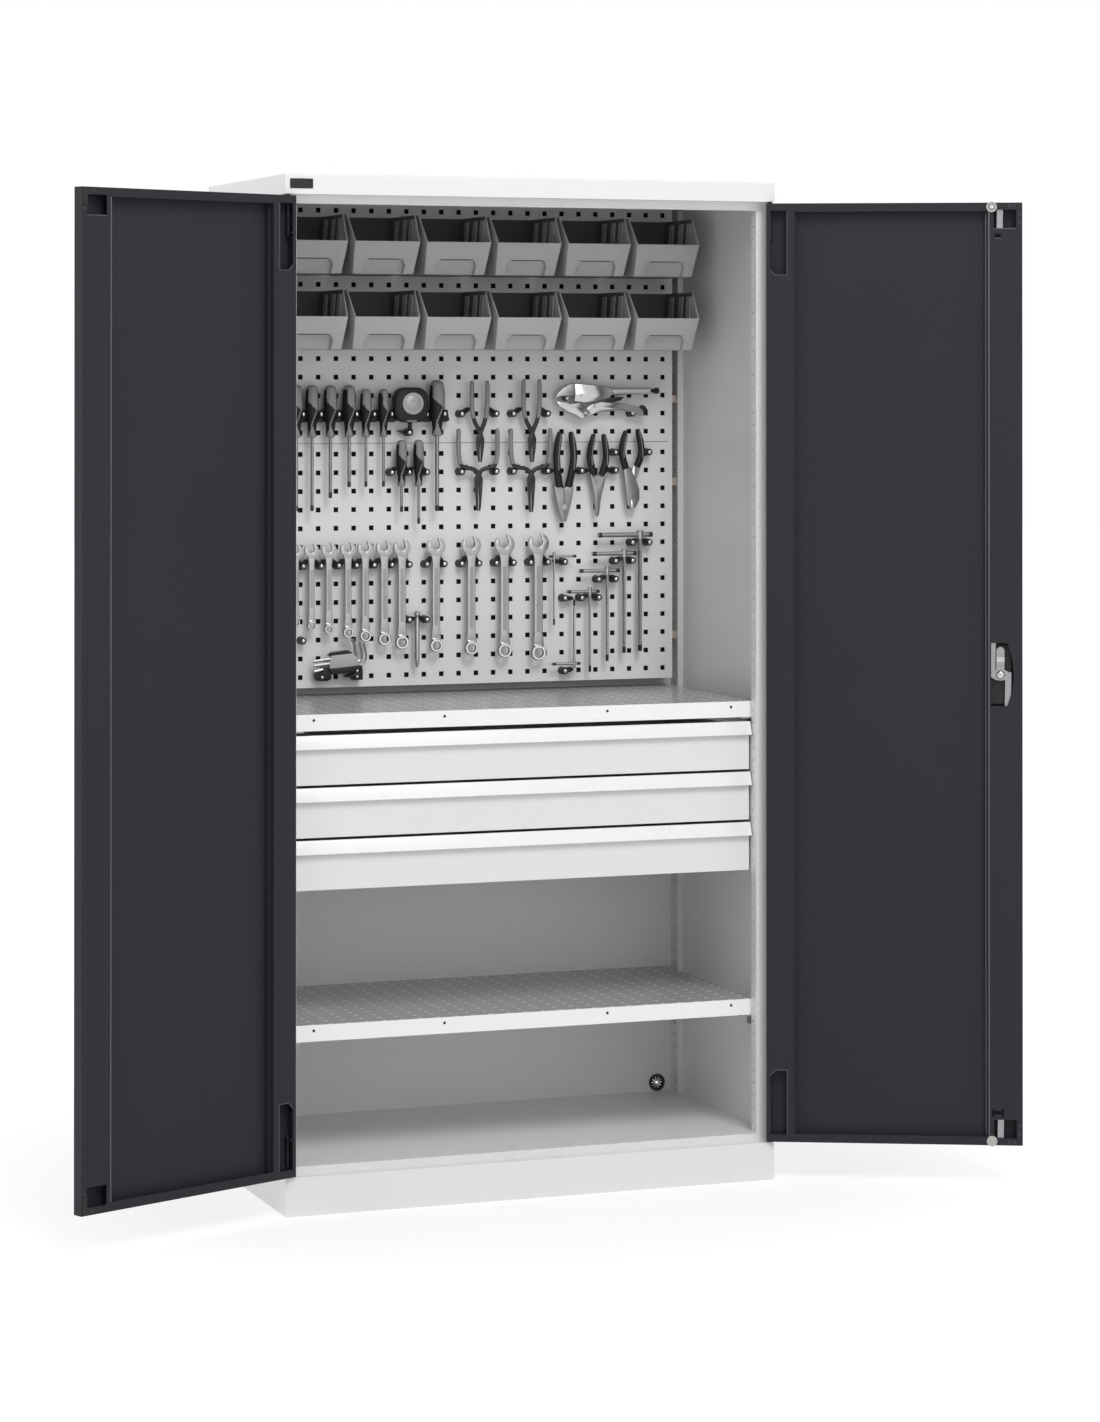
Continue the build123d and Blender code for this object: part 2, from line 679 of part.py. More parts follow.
def lock_opening():
    """Cut-out in the lock stile over the cam: three straight edges, and a bow toward the free edge."""
    low, high, flat = -lock_opening_bottom, lock_opening_top, -lock_opening_flat
    straight = Polyline((flat, low), (lock_opening_inner, low), (lock_opening_inner, high), (flat, high))
    bow = ThreePointArc((flat, high), (-lock_opening_apex, (high + low) / 2), (flat, low))
    outline = make_face(straight + bow)
    plane = front_plane(half_width - lock_u, door_inner_y + 1, lock_height)
    return extrude(plane * outline, amount=3 * sheet)


def lock_stile(side):
    """Free-edge stile with a window at each end and, on the right door, the lock's cut-out."""
    width = door_width
    body = stile(side, width - sheet, width - lock_stile_width)
    u0, u1 = width - window_edge - window_width, width - window_edge
    for end in (-1, 1):
        edge = door_top if end > 0 else door_bottom
        z0, z1 = edge - end * window_end, edge - end * (window_end + window_height)
        body -= door_block(side, u0, u1, door_inner_y - 2 * sheet, door_inner_y + 1, z0, z1)
    if side > 0:
        body -= lock_opening()
    return body


def pivot_pins(side):
    """Pins at the door's top and bottom corners; each has a collar that its spring bears on."""
    x = side * pivot_x
    collar = spring_seat - spring_turns * spring_pitch - spring_wire - 2 * running_gap
    pins = []
    for end, edge, tip in ((1, door_top, cover_bottom + sheet), (-1, door_bottom, plinth_height - sheet)):
        pin = rod(pivot_diameter, (x, pivot_y, edge - end * pivot_length), (x, pivot_y, tip))
        pin += rod(collar_diameter, (x, pivot_y, edge - end * collar),
                   (x, pivot_y, edge - end * (collar - collar_thickness)))
        pins.append(pin)
    return pins


def biarc(start, end, start_tangent, end_tangent):
    """Two arcs from one point to another that leave and arrive along the given tangents."""
    chord = end - start
    both = start_tangent + end_tangent
    a, b, c = both.dot(both) - 4, -2 * chord.dot(both), chord.dot(chord)
    reach = (-b - sqrt(b * b - 4 * a * c)) / (2 * a)
    first, second = start + start_tangent * reach, end - end_tangent * reach
    middle = (first + second) * 0.5
    return [TangentArc(start, middle, tangent=start_tangent), TangentArc(middle, end, tangent=second - first)]


def spring_point(angle):
    """Point and direction on a spring's centre line after a turn by an angle."""
    radius, rise = spring_diameter / 2, spring_pitch / (2 * pi)
    point = Vector(radius * cos(angle), radius * sin(angle), rise * angle)
    tangent = Vector(-radius * sin(angle), radius * cos(angle), rise).normalized()
    return point, tangent


def pivot_springs(side):
    """Coil springs around the two pins, wound in quarter turns."""
    arcs = []
    for quarter in range(4 * spring_turns):
        start, start_tangent = spring_point(quarter * pi / 2)
        end, end_tangent = spring_point((quarter + 1) * pi / 2)
        arcs += biarc(start, end, start_tangent, end_tangent)
    path = Wire(arcs)
    start, tangent = spring_point(0)
    coil = sweep(Plane(origin=start, z_dir=tangent) * Circle(spring_wire / 2), path=path)
    length = spring_turns * spring_pitch
    half_wire = spring_wire / 2 + running_gap
    x = side * pivot_x
    upper = Pos(x, pivot_y, door_top - spring_seat + half_wire) * coil
    lower = Pos(x, pivot_y, door_bottom + spring_seat - half_wire - length) * coil
    return [upper, lower]


def print_spring_gap():
    """Least gap between the turns of a spring, measured on points of its centre line."""
    points = [spring_point(step * pi / 24)[0] for step in range(48 * spring_turns + 1)]
    far = [(a - b).length for i, a in enumerate(points) for b in points[i + 36:]]
    print("spring: least gap between turns", round(min(far) - spring_wire, 2), "mm")


def corner_blocks():
    """Black caps on the left door's free corners, under the height of the front frame."""
    blocks = []
    for end in (-1, 1):
        edge = door_top if end > 0 else door_bottom
        z0, z1 = edge - end * 1.0, edge - end * corner_block_height
        outer = door_block(-1, door_width - corner_block_width, door_width - 1.0, door_inner_y,
                           door_inner_y + corner_block_thickness, z0, z1)
        notch_z = edge - end * window_end
        notch = door_block(-1, door_width - corner_block_width - 1, door_width - window_edge, door_inner_y - 1,
                           door_inner_y + corner_block_thickness + 1, notch_z, z1 - end)
        blocks.append(outer - notch)
    return blocks


def door_buffers():
    """Round buffers at the right door's top and bottom rails."""
    buffers = []
    x = half_width - (door_width - buffer_edge)
    for end in (-1, 1):
        z = (door_top if end > 0 else door_bottom) - end * buffer_end
        disc = rod(buffer_diameter, (x, door_inner_y, z), (x, door_inner_y + buffer_thickness, z))
        if end > 0:
            y1 = door_inner_y + buffer_thickness
            disc -= rod(buffer_diameter * 0.66, (x, y1 - 0.8, z), (x, y1 + 1, z))
            disc += rod(buffer_diameter * 0.36, (x, y1 - 0.9, z), (x, y1, z))
        buffers.append(disc)
    return buffers


# ---- lock ------------------------------------------------------------------------------------


def rod_plane_y():
    """Outer side of the lock rods in the closed door."""
    return door_inner_y - sheet - cam_thickness - running_gap - rod_thickness - 1.0


def lock_housing():
    """Case in the door behind the cut-out, with the escutcheon and key cylinder on the outside."""
    x, z = half_width - lock_u, lock_height
    y0 = front_y + sheet
    inside = block(x - housing_width / 2, x + housing_width / 2, y0, y0 + housing_depth,
                   z - housing_height / 2, z + housing_height / 2)
    plane = front_plane(x, front_y, z)
    outside = extrude(plane * RectangleRounded(escutcheon_width, escutcheon_height, 12), amount=escutcheon_thickness)
    cylinder_z = z + cylinder_offset
    cylinder = rod(cylinder_diameter, (x, front_y - escutcheon_thickness - 5, cylinder_z), (x, front_y, cylinder_z))
    cylinder -= block(x - 0.8, x + 0.8, front_y - escutcheon_thickness - 6, front_y - escutcheon_thickness - 2,
                      cylinder_z - 5, cylinder_z + 5)
    outside = outside + cylinder
    bore = spindle_diameter + 2 * running_gap
    hole = rod(bore, (x, front_y - escutcheon_thickness - 1, z), (x, y0 + housing_depth + 1, z))
    return [inside - hole, outside - hole]


def lock_handle():
    """Lever outside the door, with the spindle that goes through it."""
    x, z = half_width - lock_u, lock_height
    y1 = front_y - escutcheon_thickness - lever_gap
    y0 = y1 - lever_thickness
    centre_z = z - lever_length / 2 + lever_width / 2
    outline = Pos(0, centre_z - z) * Rot(0, 0, 90) * SlotOverall(lever_length, lever_width)
    lever = extrude(front_plane(x, y1, z) * outline, amount=lever_thickness)
    lever = chamfer(lever.faces().sort_by(Axis.Y)[0].edges(), 3)
    hub = rod(lever_width - 6, (x, y1, z), (x, y1 + lever_gap - 0.3, z))
    spindle = rod(spindle_diameter, (x, y0 + 2, z), (x, cam_y0(), z))
    return lever + hub + spindle


def cam_y0():
    """Outer side of the cam plate."""
    return rod_plane_y() + rod_thickness + running_gap


def lock_cam():
    """Eye-shaped plate on the spindle, a cranked arm that reaches over the stile, and the central screw."""
    x, z = half_width - lock_u, lock_height
    y1 = cam_y0() + cam_thickness
    arm_y0 = door_inner_y + arm_clearance
    arm_y1 = arm_y0 + arm_thickness
    half, bow, arm_half = cam_length / 2, cam_width / 2, arm_width / 2
    upper = ThreePointArc((-half, 0), (0, bow), (half, 0))
    lower = ThreePointArc((half, 0), (0, -bow), (-half, 0))
    cam = extrude(front_plane(x, y1, z) * make_face(upper + lower), amount=cam_thickness)
    cam += block(x - arm_half, x + arm_half, cam_y0(), y1, z, z + arm_crank)
    cam += block(x - arm_half, x + arm_half, cam_y0(), arm_y1, z + arm_crank - arm_thickness, z + arm_crank)
    straight = Polyline((-arm_half, arm_length - arm_half), (-arm_half, arm_crank - arm_thickness),
                        (arm_half, arm_crank - arm_thickness), (arm_half, arm_length - arm_half))
    tip = ThreePointArc((arm_half, arm_length - arm_half), (0, arm_length), (-arm_half, arm_length - arm_half))
    cam += extrude(front_plane(x, arm_y1, z) * make_face(straight + tip), amount=arm_thickness)
    cam += rod(lock_screw_diameter, (x, y1 - 0.5, z), (x, y1 + 1.8, z))
    return cam


def lock_rod(end):
    """Flat rod from beside the spindle to a slot in the door's edge, leaning a little."""
    centre = half_width - lock_u
    start_x = centre + end * rod_offset
    edge = door_top if end > 0 else door_bottom
    start_z = lock_height - end * 5
    end_z = edge - end * rod_end_gap
    half = rod_width / 2
    points = [(start_x - half, start_z), (start_x + half, start_z), (centre + half, end_z), (centre - half, end_z)]
    outline = make_face(Polyline(*points, close=True))
    return extrude(front_plane(0, rod_plane_y() + rod_thickness, 0) * outline, amount=rod_thickness)


# ---- bins ------------------------------------------------------------------------------------


def bin_section(width_base, width_rim, height, y):
    """Front-facing trapezoid wire of a bin at one depth."""
    low, high = width_base / 2, width_rim / 2
    return Plane(origin=(0, y, 0), x_dir=(1, 0, 0), z_dir=(0, -1, 0)) * make_face(
        Polyline((-low, 0), (low, 0), (high, height), (-high, height), close=True))


def bin_shell(inset):
    """Tapered body of a bin, drawn in by inset on every side; its front wall leans forward."""
    low, high = bin_base_width / 2 - inset, bin_rim_width / 2 - inset
    base = make_face(Polyline((-low, -bin_base_depth + inset), (low, -bin_base_depth + inset),
                              (low, -inset), (-low, -inset), close=True))
    lean = (bin_depth - bin_base_depth) * bin_height / bin_lip_height
    rim_depth = bin_base_depth + lean - inset
    rim = make_face(Polyline((-high, -rim_depth), (high, -rim_depth), (high, -inset), (-high, -inset), close=True))
    return loft([Pos(0, 0, inset) * base, Pos(0, 0, bin_height + (0.01 if inset else 0)) * rim], ruled=True)


def storage_bin():
    """Open bin with a low front lip, sloping side edges and a finger recess; back face at Y = 0."""
    body = bin_shell(0)
    slope = make_face(Polyline((-bin_depth, bin_lip_height), (-bin_depth + bin_slope_depth, bin_height + 1),
                               (-3 * bin_depth, bin_height + 1), (-3 * bin_depth, bin_lip_height), close=True))
    body -= extrude(side_plane(-bin_rim_width, 0, 0) * slope, amount=2 * bin_rim_width)
    low_y = -bin_base_depth
    high_y = -(bin_base_depth + (bin_depth - bin_base_depth) * grip_height / bin_lip_height)
    lean_angle = degrees(atan2(low_y - high_y, grip_height))
    grip_plane = Plane(origin=(0, low_y - 2, 0), x_dir=(1, 0, 0), z_dir=(0, -1, 0)).rotated((-lean_angle, 0, 0))
    grip_shape = make_face(Polyline((-grip_width_bottom / 2, -1), (grip_width_bottom / 2, -1),
                                    (grip_width_top / 2, grip_height), (-grip_width_top / 2, grip_height), close=True))
    hollow = bin_shell(bin_wall)
    recess_back = extrude(grip_plane * grip_shape, amount=-(grip_depth + bin_wall + 2))
    hollow -= recess_back
    body -= hollow
    body -= extrude(grip_plane * grip_shape, amount=-(grip_depth + 2)) + extrude(grip_plane * grip_shape, amount=20)
    return body


def bin_row(base_z):
    """A row of bins, hung on the upper tool panel."""
    one = storage_bin()
    first = bin_offset_x - bin_pitch * (bin_columns - 1) / 2
    return [Pos(first + bin_pitch * column, board_y - 0.2, base_z) * one for column in range(bin_columns)]


# ---- hung tools ------------------------------------------------------------------------------


def bar(points, width, thickness, y=None):
    """A flat bar with round ends and joints, along points in the tools' plane."""
    centre = tool_y if y is None else y
    plane = front_plane(0, centre + thickness / 2, 0)
    pieces = []
    for start, end in zip(points, points[1:]):
        pieces.append(plane * Pos(*start) * Circle(width / 2))
        run = Vector(end[0] - start[0], end[1] - start[1], 0)
        turn = degrees(atan2(run.Y, run.X))
        middle = ((start[0] + end[0]) / 2, (start[1] + end[1]) / 2)
        pieces.append(plane * Pos(*middle) * Rot(0, 0, turn) * Rectangle(run.length, width))
    pieces.append(plane * Pos(*points[-1]) * Circle(width / 2))
    solids = [extrude(piece, amount=thickness) for piece in pieces]
    return solids[0].fuse(*solids[1:])


def plate(points, thickness, y=None):
    """A flat plate with straight edges in the tools' plane."""
    centre = tool_y if y is None else y
    return extrude(front_plane(0, centre + thickness / 2, 0) * make_face(Polyline(*points, close=True)),
                   amount=thickness)


def screwdriver(x, top, handle, tip, diameter):
    """Grip with a waist near its lower end, a round blade and a flat tip."""
    y, low, radius = tool_y - grip_forward, top - handle, diameter / 2
    waist = handle_waist * radius
    side = Spline((radius * 0.6, top - 1.5), (radius * 0.95, top - 0.2 * handle), (radius * 0.95, top - 0.5 * handle),
                  (waist, low + 0.16 * handle), (waist + 1.5, low + 3))
    outline = Polyline((waist + 1.5, low + 3), (waist, low), (0, low), (0, top), (radius * 0.3, top - 0.3),
                       (radius * 0.6, top - 1.5))
    grip = revolve(front_plane(x, y, 0) * make_face(side + outline), axis=Axis((x, y, 0), (0, 0, 1)))
    half = diameter * 0.13
    blade = rod(2 * half, (x, y, tip + 8), (x, y, low + 5))
    blade += block(x - half, x + half, y - 0.6, y + 0.6, tip, tip + 9)
    return grip + blade


def screwdriver_sizes():
    """Place, top, grip length, tip height and grip diameter of every screwdriver."""
    row, low_row = tool_row_heights[0] + 60, tool_row_heights[1] + 67
    sizes = [(-358, row, 108, 1336, 26), (-325, row, 108, 1336, 26), (-286, row, 108, 1362, 27)]
    sizes += [(-246, row, 108, 1384, 27), (-210, row - 8, 100, 1384, 23), (-172, row - 8, 100, 1384, 22)]
    sizes += [(-56, row + 10, 116, 1333, 31), (-133, low_row, 97, 1332, 23), (-96, low_row, 97, 1307, 22)]
    return sizes


def tape_measure():
    """Round-cornered case with a disc on its face, and the bent strip that it hangs on."""
    x, z = tape_place
    back = tool_y - tape_forward + tape_thickness / 2
    front = back - tape_thickness
    case = extrude(front_plane(x, back, z) * RectangleRounded(tape_size, tape_size, 22), amount=tape_thickness)
    case = fillet(case.faces().sort_by(Axis.Y)[0].edges(), 4)
    case += rod(tape_size * 0.62, (x, front - 1.2, z + 2), (x, front + 1, z + 2))
    strip = block(x + 4, x + 12, back, board_y, z - 16, z - 12)
    strip += block(x + 4, x + 12, board_y - 4, board_y, z - 57, z - 12)
    return [case, strip]


def circlip_pliers(left, right, top, bend, joint, tip):
    """Two slim handles that cross at a joint, and two fine jaws."""
    middle = (left + right) / 2 + 1
    tool = bar([(left, top), (left - 1, bend + 30), (left + 3, bend), (middle, joint)], circlip_grip, plier_thickness)
    tool += bar([(right, top), (right + 1, bend + 30), (right - 3, bend), (middle, joint)], circlip_grip,
                plier_thickness)
    tool += bar([(middle, joint), (middle, joint - 18)], 17, plier_thickness)
    for side in (-1, 1):
        tool += plate([(middle + side, joint - 18), (middle + side * 8, joint - 18), (middle + side * 4, tip),
                       (middle + side, tip)], plier_thickness - 2)
    return tool


def gripping_pliers():
    """Three pliers with padded handles: wide jaws, long slim jaws, and an adjustable head."""
    wide = bar([(214, 1487), (207, 1440), (214, 1385)], 15, 11) + bar([(241, 1487), (248, 1440), (234, 1385)], 15, 11)
    wide += plate([(200, 1384), (247, 1384), (238, 1345), (229, 1307), (219, 1307), (209, 1345)], 9)
    slim = bar([(290, 1482), (281, 1445), (291, 1412)], 14, 11) + bar([(314, 1482), (321, 1445), (311, 1412)], 14, 11)
    slim += plate([(283, 1408), (319, 1408), (310, 1372), (301, 1318), (298, 1318), (291, 1372)], 8)
    head = bar([(361, 1490), (353, 1455), (362, 1425)], 14, 11) + bar([(392, 1492), (400, 1455), (388, 1425)], 14, 11)
    head += bar([(364, 1415), (380, 1350)], 24, 7) + bar([(386, 1415), (379, 1380)], 14, 5)
    return [wide, slim, head]


def locking_pliers():
    """Hung level: jaws at the left, fixed body above, lever below, and the setting screw at the right."""
    body = plate([(206, 1561), (222, 1580), (246, 1590), (290, 1583), (325, 1577), (410, 1575), (410, 1562),
                  (330, 1560), (300, 1556), (270, 1551), (240, 1556)], 10)
    jaw = plate([(206, 1559), (238, 1553), (268, 1549), (282, 1534), (262, 1521), (250, 1528), (215, 1545)], 10)
    lever = plate([(268, 1547), (300, 1553), (350, 1549), (400, 1539), (404, 1533), (350, 1540), (300, 1536),
                   (284, 1534)], 8)
    knob = rod(12, (412, tool_y, 1568.5), (432, tool_y, 1568.5)) + rod(5, (400, tool_y, 1568.5), (420, tool_y, 1568.5))
    rivets = [rod(9, (x, tool_y - 6, z), (x, tool_y + 6, z)) for x, z in ((258, 1554), (276, 1549), (272, 1536))]
    return body.fuse(jaw, lever, knob, *rivets)


def wrench(x, reach, shaft, head):
    """Open jaw above, leaning to one side, flat shaft, and a ring below."""
    ring, half_ring = 0.66 * head, ring_thickness / 2
    head_z, ring_z = wrench_rest_height + head / 2, wrench_rest_height - reach
    tool = rod(head, (x, tool_y - half_ring, head_z), (x, tool_y + half_ring, head_z))
    gap = Pos(0, head * 0.3) * Rectangle(head * 0.44, head * 0.62)
    jaw = front_plane(x, tool_y + ring_thickness, head_z) * Rot(0, 0, 15) * gap
    tool -= extrude(jaw, amount=2 * ring_thickness)
    tool += block(x - shaft / 2, x + shaft / 2, tool_y - wrench_thickness / 2, tool_y + wrench_thickness / 2,
                  ring_z, head_z - head * 0.35)
    tool += rod(ring, (x, tool_y - half_ring, ring_z), (x, tool_y + half_ring, ring_z))
    tool -= rod(ring * 0.6, (x, tool_y - ring_thickness, ring_z), (x, tool_y + ring_thickness, ring_z))
    return tool


def wrench_sizes():
    """Place, reach, shaft width and head width of every combination wrench."""
    sizes = [(x, small_wrench_reach + small_wrench_growth * step, 12 + 0.8 * step, 27 + 1.2 * step)
             for step, x in enumerate(small_wrench_places)]
    sizes += [(x, large_wrench_reach + large_wrench_growth * step, 17 + 0.6 * step, 36 + 2 * step)
              for step, x in enumerate(large_wrench_places)]
    return sizes


def short_bar():
    """Round bar with a ball at its top."""
    x = short_bar_place
    tool = rod(short_bar_diameter, (x, tool_y, short_bar_bottom), (x, tool_y, short_bar_top))
    return tool + Pos(x, tool_y, short_bar_top) * Sphere(short_bar_diameter * 0.62)


def t_handle_key(bar_z, left, right, x, tip, diameter):
    """Sliding bar through the head of a long shaft."""
    up = 1 if tip > bar_z else -1
    key = rod(diameter, (x, tool_y, bar_z - up * 7), (x, tool_y, tip))
    key += rod(diameter * 1.35, (x, tool_y, bar_z - up * 8), (x, tool_y, bar_z + up * 9))
    return key + rod(diameter * 0.85, (left, tool_y, bar_z), (right, tool_y, bar_z))


def t_handle_keys():
    """Four in a falling row, a short one at their left, and one below, turned over."""
    keys = [t_handle_key(1278, 301, 423, 396, 1033, 9), t_handle_key(1239, 288, 387, 360, 1030, 7.5)]
    keys += [t_handle_key(1203.5, 259, 349, 322, 1014, 6.5), t_handle_key(1160.5, 232, 304, 283, 992, 5.5)]
    keys += [t_handle_key(1235, 192, 252, 203, 1092, 4), t_handle_key(1010.5, 198, 261, 248, 1145, 4.5)]
    return keys


def hex_key_set():
    """Two bars of a holder, with bent keys side by side in their grooves."""
    x, z = hex_holder_place
    half, thick = hex_holder_width / 2, hex_holder_thickness
    keys = []
    for step in range(4):
        y = tool_y - 7.5 + 5 * step
        keys.append(bar([(x - half + 8, z - 8 + 3 * step), (x + half + 4 + 4 * step, z - 6 + 3 * step),
                         (x + half + 12, z + 30 + 10 * step)], 6, 5, y))
    lower = plate([(x - half, z - 7), (x + half - 6, z - 3), (x + half - 6, z - 22), (x - half, z - 22)], thick)
    upper = plate([(x - half, z + 12), (x + half - 20, z + 20), (x + half - 12, z + 8), (x - half, z - 2)], thick)
    cut = [max(piece.cut(*keys).solids(), key=lambda solid: solid.volume) for piece in (lower, upper)]
    return cut + keys


def holder(hole_x, hole_z, contacts):
    """Screwed boss at a hole of the tool panel, with an arm to each tool that it holds."""
    boss = rod(holder_boss, (hole_x, board_y - 14, hole_z), (hole_x, board_y, hole_z))
    for contact_x, contact_z in contacts:
        toward = 1 if contact_x > hole_x else -1
        arm = bar([(hole_x, hole_z), (contact_x, contact_z)], holder_arm, 18, board_y - 15)
        boss += arm - block(contact_x, contact_x + toward * 30, board_y - 40, board_y + 1, contact_z - 40,
                            contact_z + 40)
    return boss + rod(holder_screw, (hole_x, board_y - 26, hole_z), (hole_x, board_y - 12, hole_z))


def holder_pair(x, half, hole_left, hole_right, hole_z, rise):
    """Two holders, one at each side of a tool."""
    pair = []
    if hole_left is not None:
        pair.append(holder(hole_left, hole_z, [(x - half, hole_z + rise)]))
    if hole_right is not None:
        pair.append(holder(hole_right, hole_z, [(x + half, hole_z + rise)]))
    return pair


def grip_clips():
    """Holders of the screwdrivers."""
    upper, middle = tool_row_heights[0], tool_row_heights[1]
    drop, rise = upper - holder_rise, middle + holder_rise
    clips = []
    for hole, left, right in ((-342, -356, -327), (-304, -322, -288), (-266, -284, -248), (-228, -244, -212),
                              (-190, -208, -174), (-152, -170, None), (-76, None, -58), (-38, -54, None)):
        clips.append(holder(hole, upper, [(x, drop) for x in (left, right) if x is not None]))
    for hole, left, right in ((-152, None, -135), (-114, -131, -98), (-76, -94, None)):
        clips.append(holder(hole, middle, [(x, rise) for x in (left, right) if x is not None]))
    return clips


def tool_clips(tools):
    """Holders of all the hung tools, hollowed where a tool lies in them."""
    upper, middle, lower = tool_row_heights
    rise = holder_rise
    clips = grip_clips()
    clips += holder_pair(38.5, 19, 0, 76, upper, rise) + holder_pair(153, 19, 114, 190, upper, rise)
    clips += [holder(0, middle, [(12, middle + rise)]), holder(76, middle, [(64, middle + rise)])]
    clips += [holder(114, middle, [(126, middle + rise)]), holder(190, middle, [(180, middle + rise), (203, middle)])]
    clips += [holder(266, middle, [(253, middle), (282.5, middle)]), holder(342, middle, [(319, middle)])]
    clips += [holder(342, 1451.3, [(346, 1448)]), holder(418, 1451.3, [(407, 1448)])]
    clips.append(holder(-114, 1495.3, []))
    clips += [holder(380, upper, []), holder(-342, 1071.3, []), holder(-304, 995.3, []), holder(-228, 995.3, [])]
    for step, x in enumerate(small_wrench_places):
        hole = board_pitch * (step - 9)
        clips.append(holder(hole, lower, [(x + 6.1 + 0.4 * step, lower + rise)]))
    for step, x in enumerate(large_wrench_places):
        hole = board_pitch * 2 * step - 76
        clips += holder_pair(x, 8.6 + 0.3 * step, hole, hole + board_pitch, lower, rise)
    clips += holder_pair(-98, short_bar_diameter / 2, -114, -76, 1109.3, 4)
    for x, radius, left, z in ((396, 4.6, 380, 1261.3), (360, 3.85, 342, 1223.3), (322, 3.35, 304, 1185.3),
                               (283, 2.85, 266, 1147.3)):
        clips += holder_pair(x, radius, left, left + board_pitch, z, -1)
    clips.append(holder(228, lower, [(205.1, lower - 3)]))
    clips.append(holder(228, 1147.3, [(245.7, 1139)]))
    clips.append(holder(228, 995.3, [(244.7, 998)]))
    return [hollowed(clip, tools) for clip in clips]


def hollowed(clip, tools):
    """A holder without the space of the tools whose boxes it reaches."""
    box = clip.bounding_box()
    near = []
    for tool in tools:
        other = tool.bounding_box()
        if (box.min.X < other.max.X and other.min.X < box.max.X
                and box.min.Z < other.max.Z and other.min.Z < box.max.Z):
            near.append(tool)
    cut = clip.cut(*near) if near else clip
    return max(cut.solids(), key=lambda solid: solid.volume)


if __name__ == "__main__":
    os.makedirs("parts", exist_ok=True)
    save("plinth", plinth())
    save("floor_pan", floor_pan())
    save("side_panel_left", side_panel(-1))
    save("side_panel_right", side_panel(1))
    save("back_panel", back_panel())
    save("top_cover", top_cover())
    save("front_lintel", front_lintel())
    save("name_plate", name_plate())
    save("rear_upright_left", rear_upright(-1))
    save("rear_upright_right", rear_upright(1))
    save("pegboard_lower", tool_board(board_bottom))
    save("pegboard_upper", tool_board(board_bottom + board_height))
    save("pegboard_clips", *[board_clip(side, z) for side in (-1, 1) for z in clip_rows])
    save("worktop_shelf", shelf(worktop_height))
    save("lower_shelf", shelf(lower_shelf_height))
    save("shelf_brackets", *(shelf_brackets(worktop_height) + shelf_brackets(lower_shelf_height)))
    save("cable_grommet", cable_grommet())
    save("pivot_bushes", *pivot_bushes())
    save("drawer_carrier_left", drawer_carrier(-1))
    save("drawer_carrier_right", drawer_carrier(1))
    drawers = range(1, drawer_count + 1)
    save("slide_outer_members", *[slide_member(side, 0, index) for index in drawers for side in (-1, 1)])
    for index in drawers:
        save(f"slide_middle_{index}", slide_member(-1, 1, index), slide_member(1, 1, index))
        save(f"drawer_{index}_box", drawer_box(index), slide_member(-1, 2, index), slide_member(1, 2, index))
        save(f"drawer_{index}_front", drawer_front(index))
        save(f"drawer_{index}_handle", drawer_handle(index))
    for side, name in ((-1, "left"), (1, "right")):
        save(f"door_{name}_skin", swing(side, door_skin(side)))
        save(f"door_{name}_hinge_stile", swing(side, hinge_stile(side)))
        save(f"door_{name}_lock_stile", swing(side, lock_stile(side)))
        save(f"door_{name}_pivot_pins", *[swing(side, piece) for piece in pivot_pins(side) + pivot_springs(side)])
    save("door_left_corner_blocks", *[swing(-1, piece) for piece in corner_blocks()])
    save("door_right_buffers", *[swing(1, piece) for piece in door_buffers()])
    save("lock_housing", *[swing(1, piece) for piece in lock_housing()])
    save("lock_handle", swing(1, lock_handle()))
    save("lock_cam", swing(1, lock_cam()))
    save("lock_rod_upper", swing(1, lock_rod(1)))
    save("lock_rod_lower", swing(1, lock_rod(-1)))
    save("bin_row_upper", *bin_row(bin_base_heights[0]))
    save("bin_row_lower", *bin_row(bin_base_heights[1]))
    drivers = [screwdriver(*size) for size in screwdriver_sizes()]
    tape = tape_measure()
    circlips = [circlip_pliers(22, 55, 1599, 1528, 1489, 1433), circlip_pliers(136, 170, 1602, 1528, 1489, 1432)]
    circlips += [circlip_pliers(-7, 77, 1500, 1433, 1406, 1332), circlip_pliers(108, 194, 1500, 1433, 1406, 1328)]
    locking, gripping = locking_pliers(), gripping_pliers()
    wrenches = [wrench(*size) for size in wrench_sizes()] + [short_bar()]
    keys, hex_keys = t_handle_keys(), hex_key_set()
    save("screwdrivers", *drivers)
    save("tape_measure", *tape)
    save("circlip_pliers", *circlips)
    save("locking_pliers", locking)
    save("gripping_pliers", *gripping)
    save("combination_wrenches", *wrenches)
    save("t_handle_keys", *keys)
    save("hex_key_set", *hex_keys)
    save("tool_clips", *tool_clips(drivers + tape + circlips + [locking] + gripping + wrenches + keys + hex_keys))
    print_spring_gap()
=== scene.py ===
"""Looks of a tool cabinet with two hinged doors, drawers, bins and hung tools."""

from math import atan2, cos, pi, radians, sin

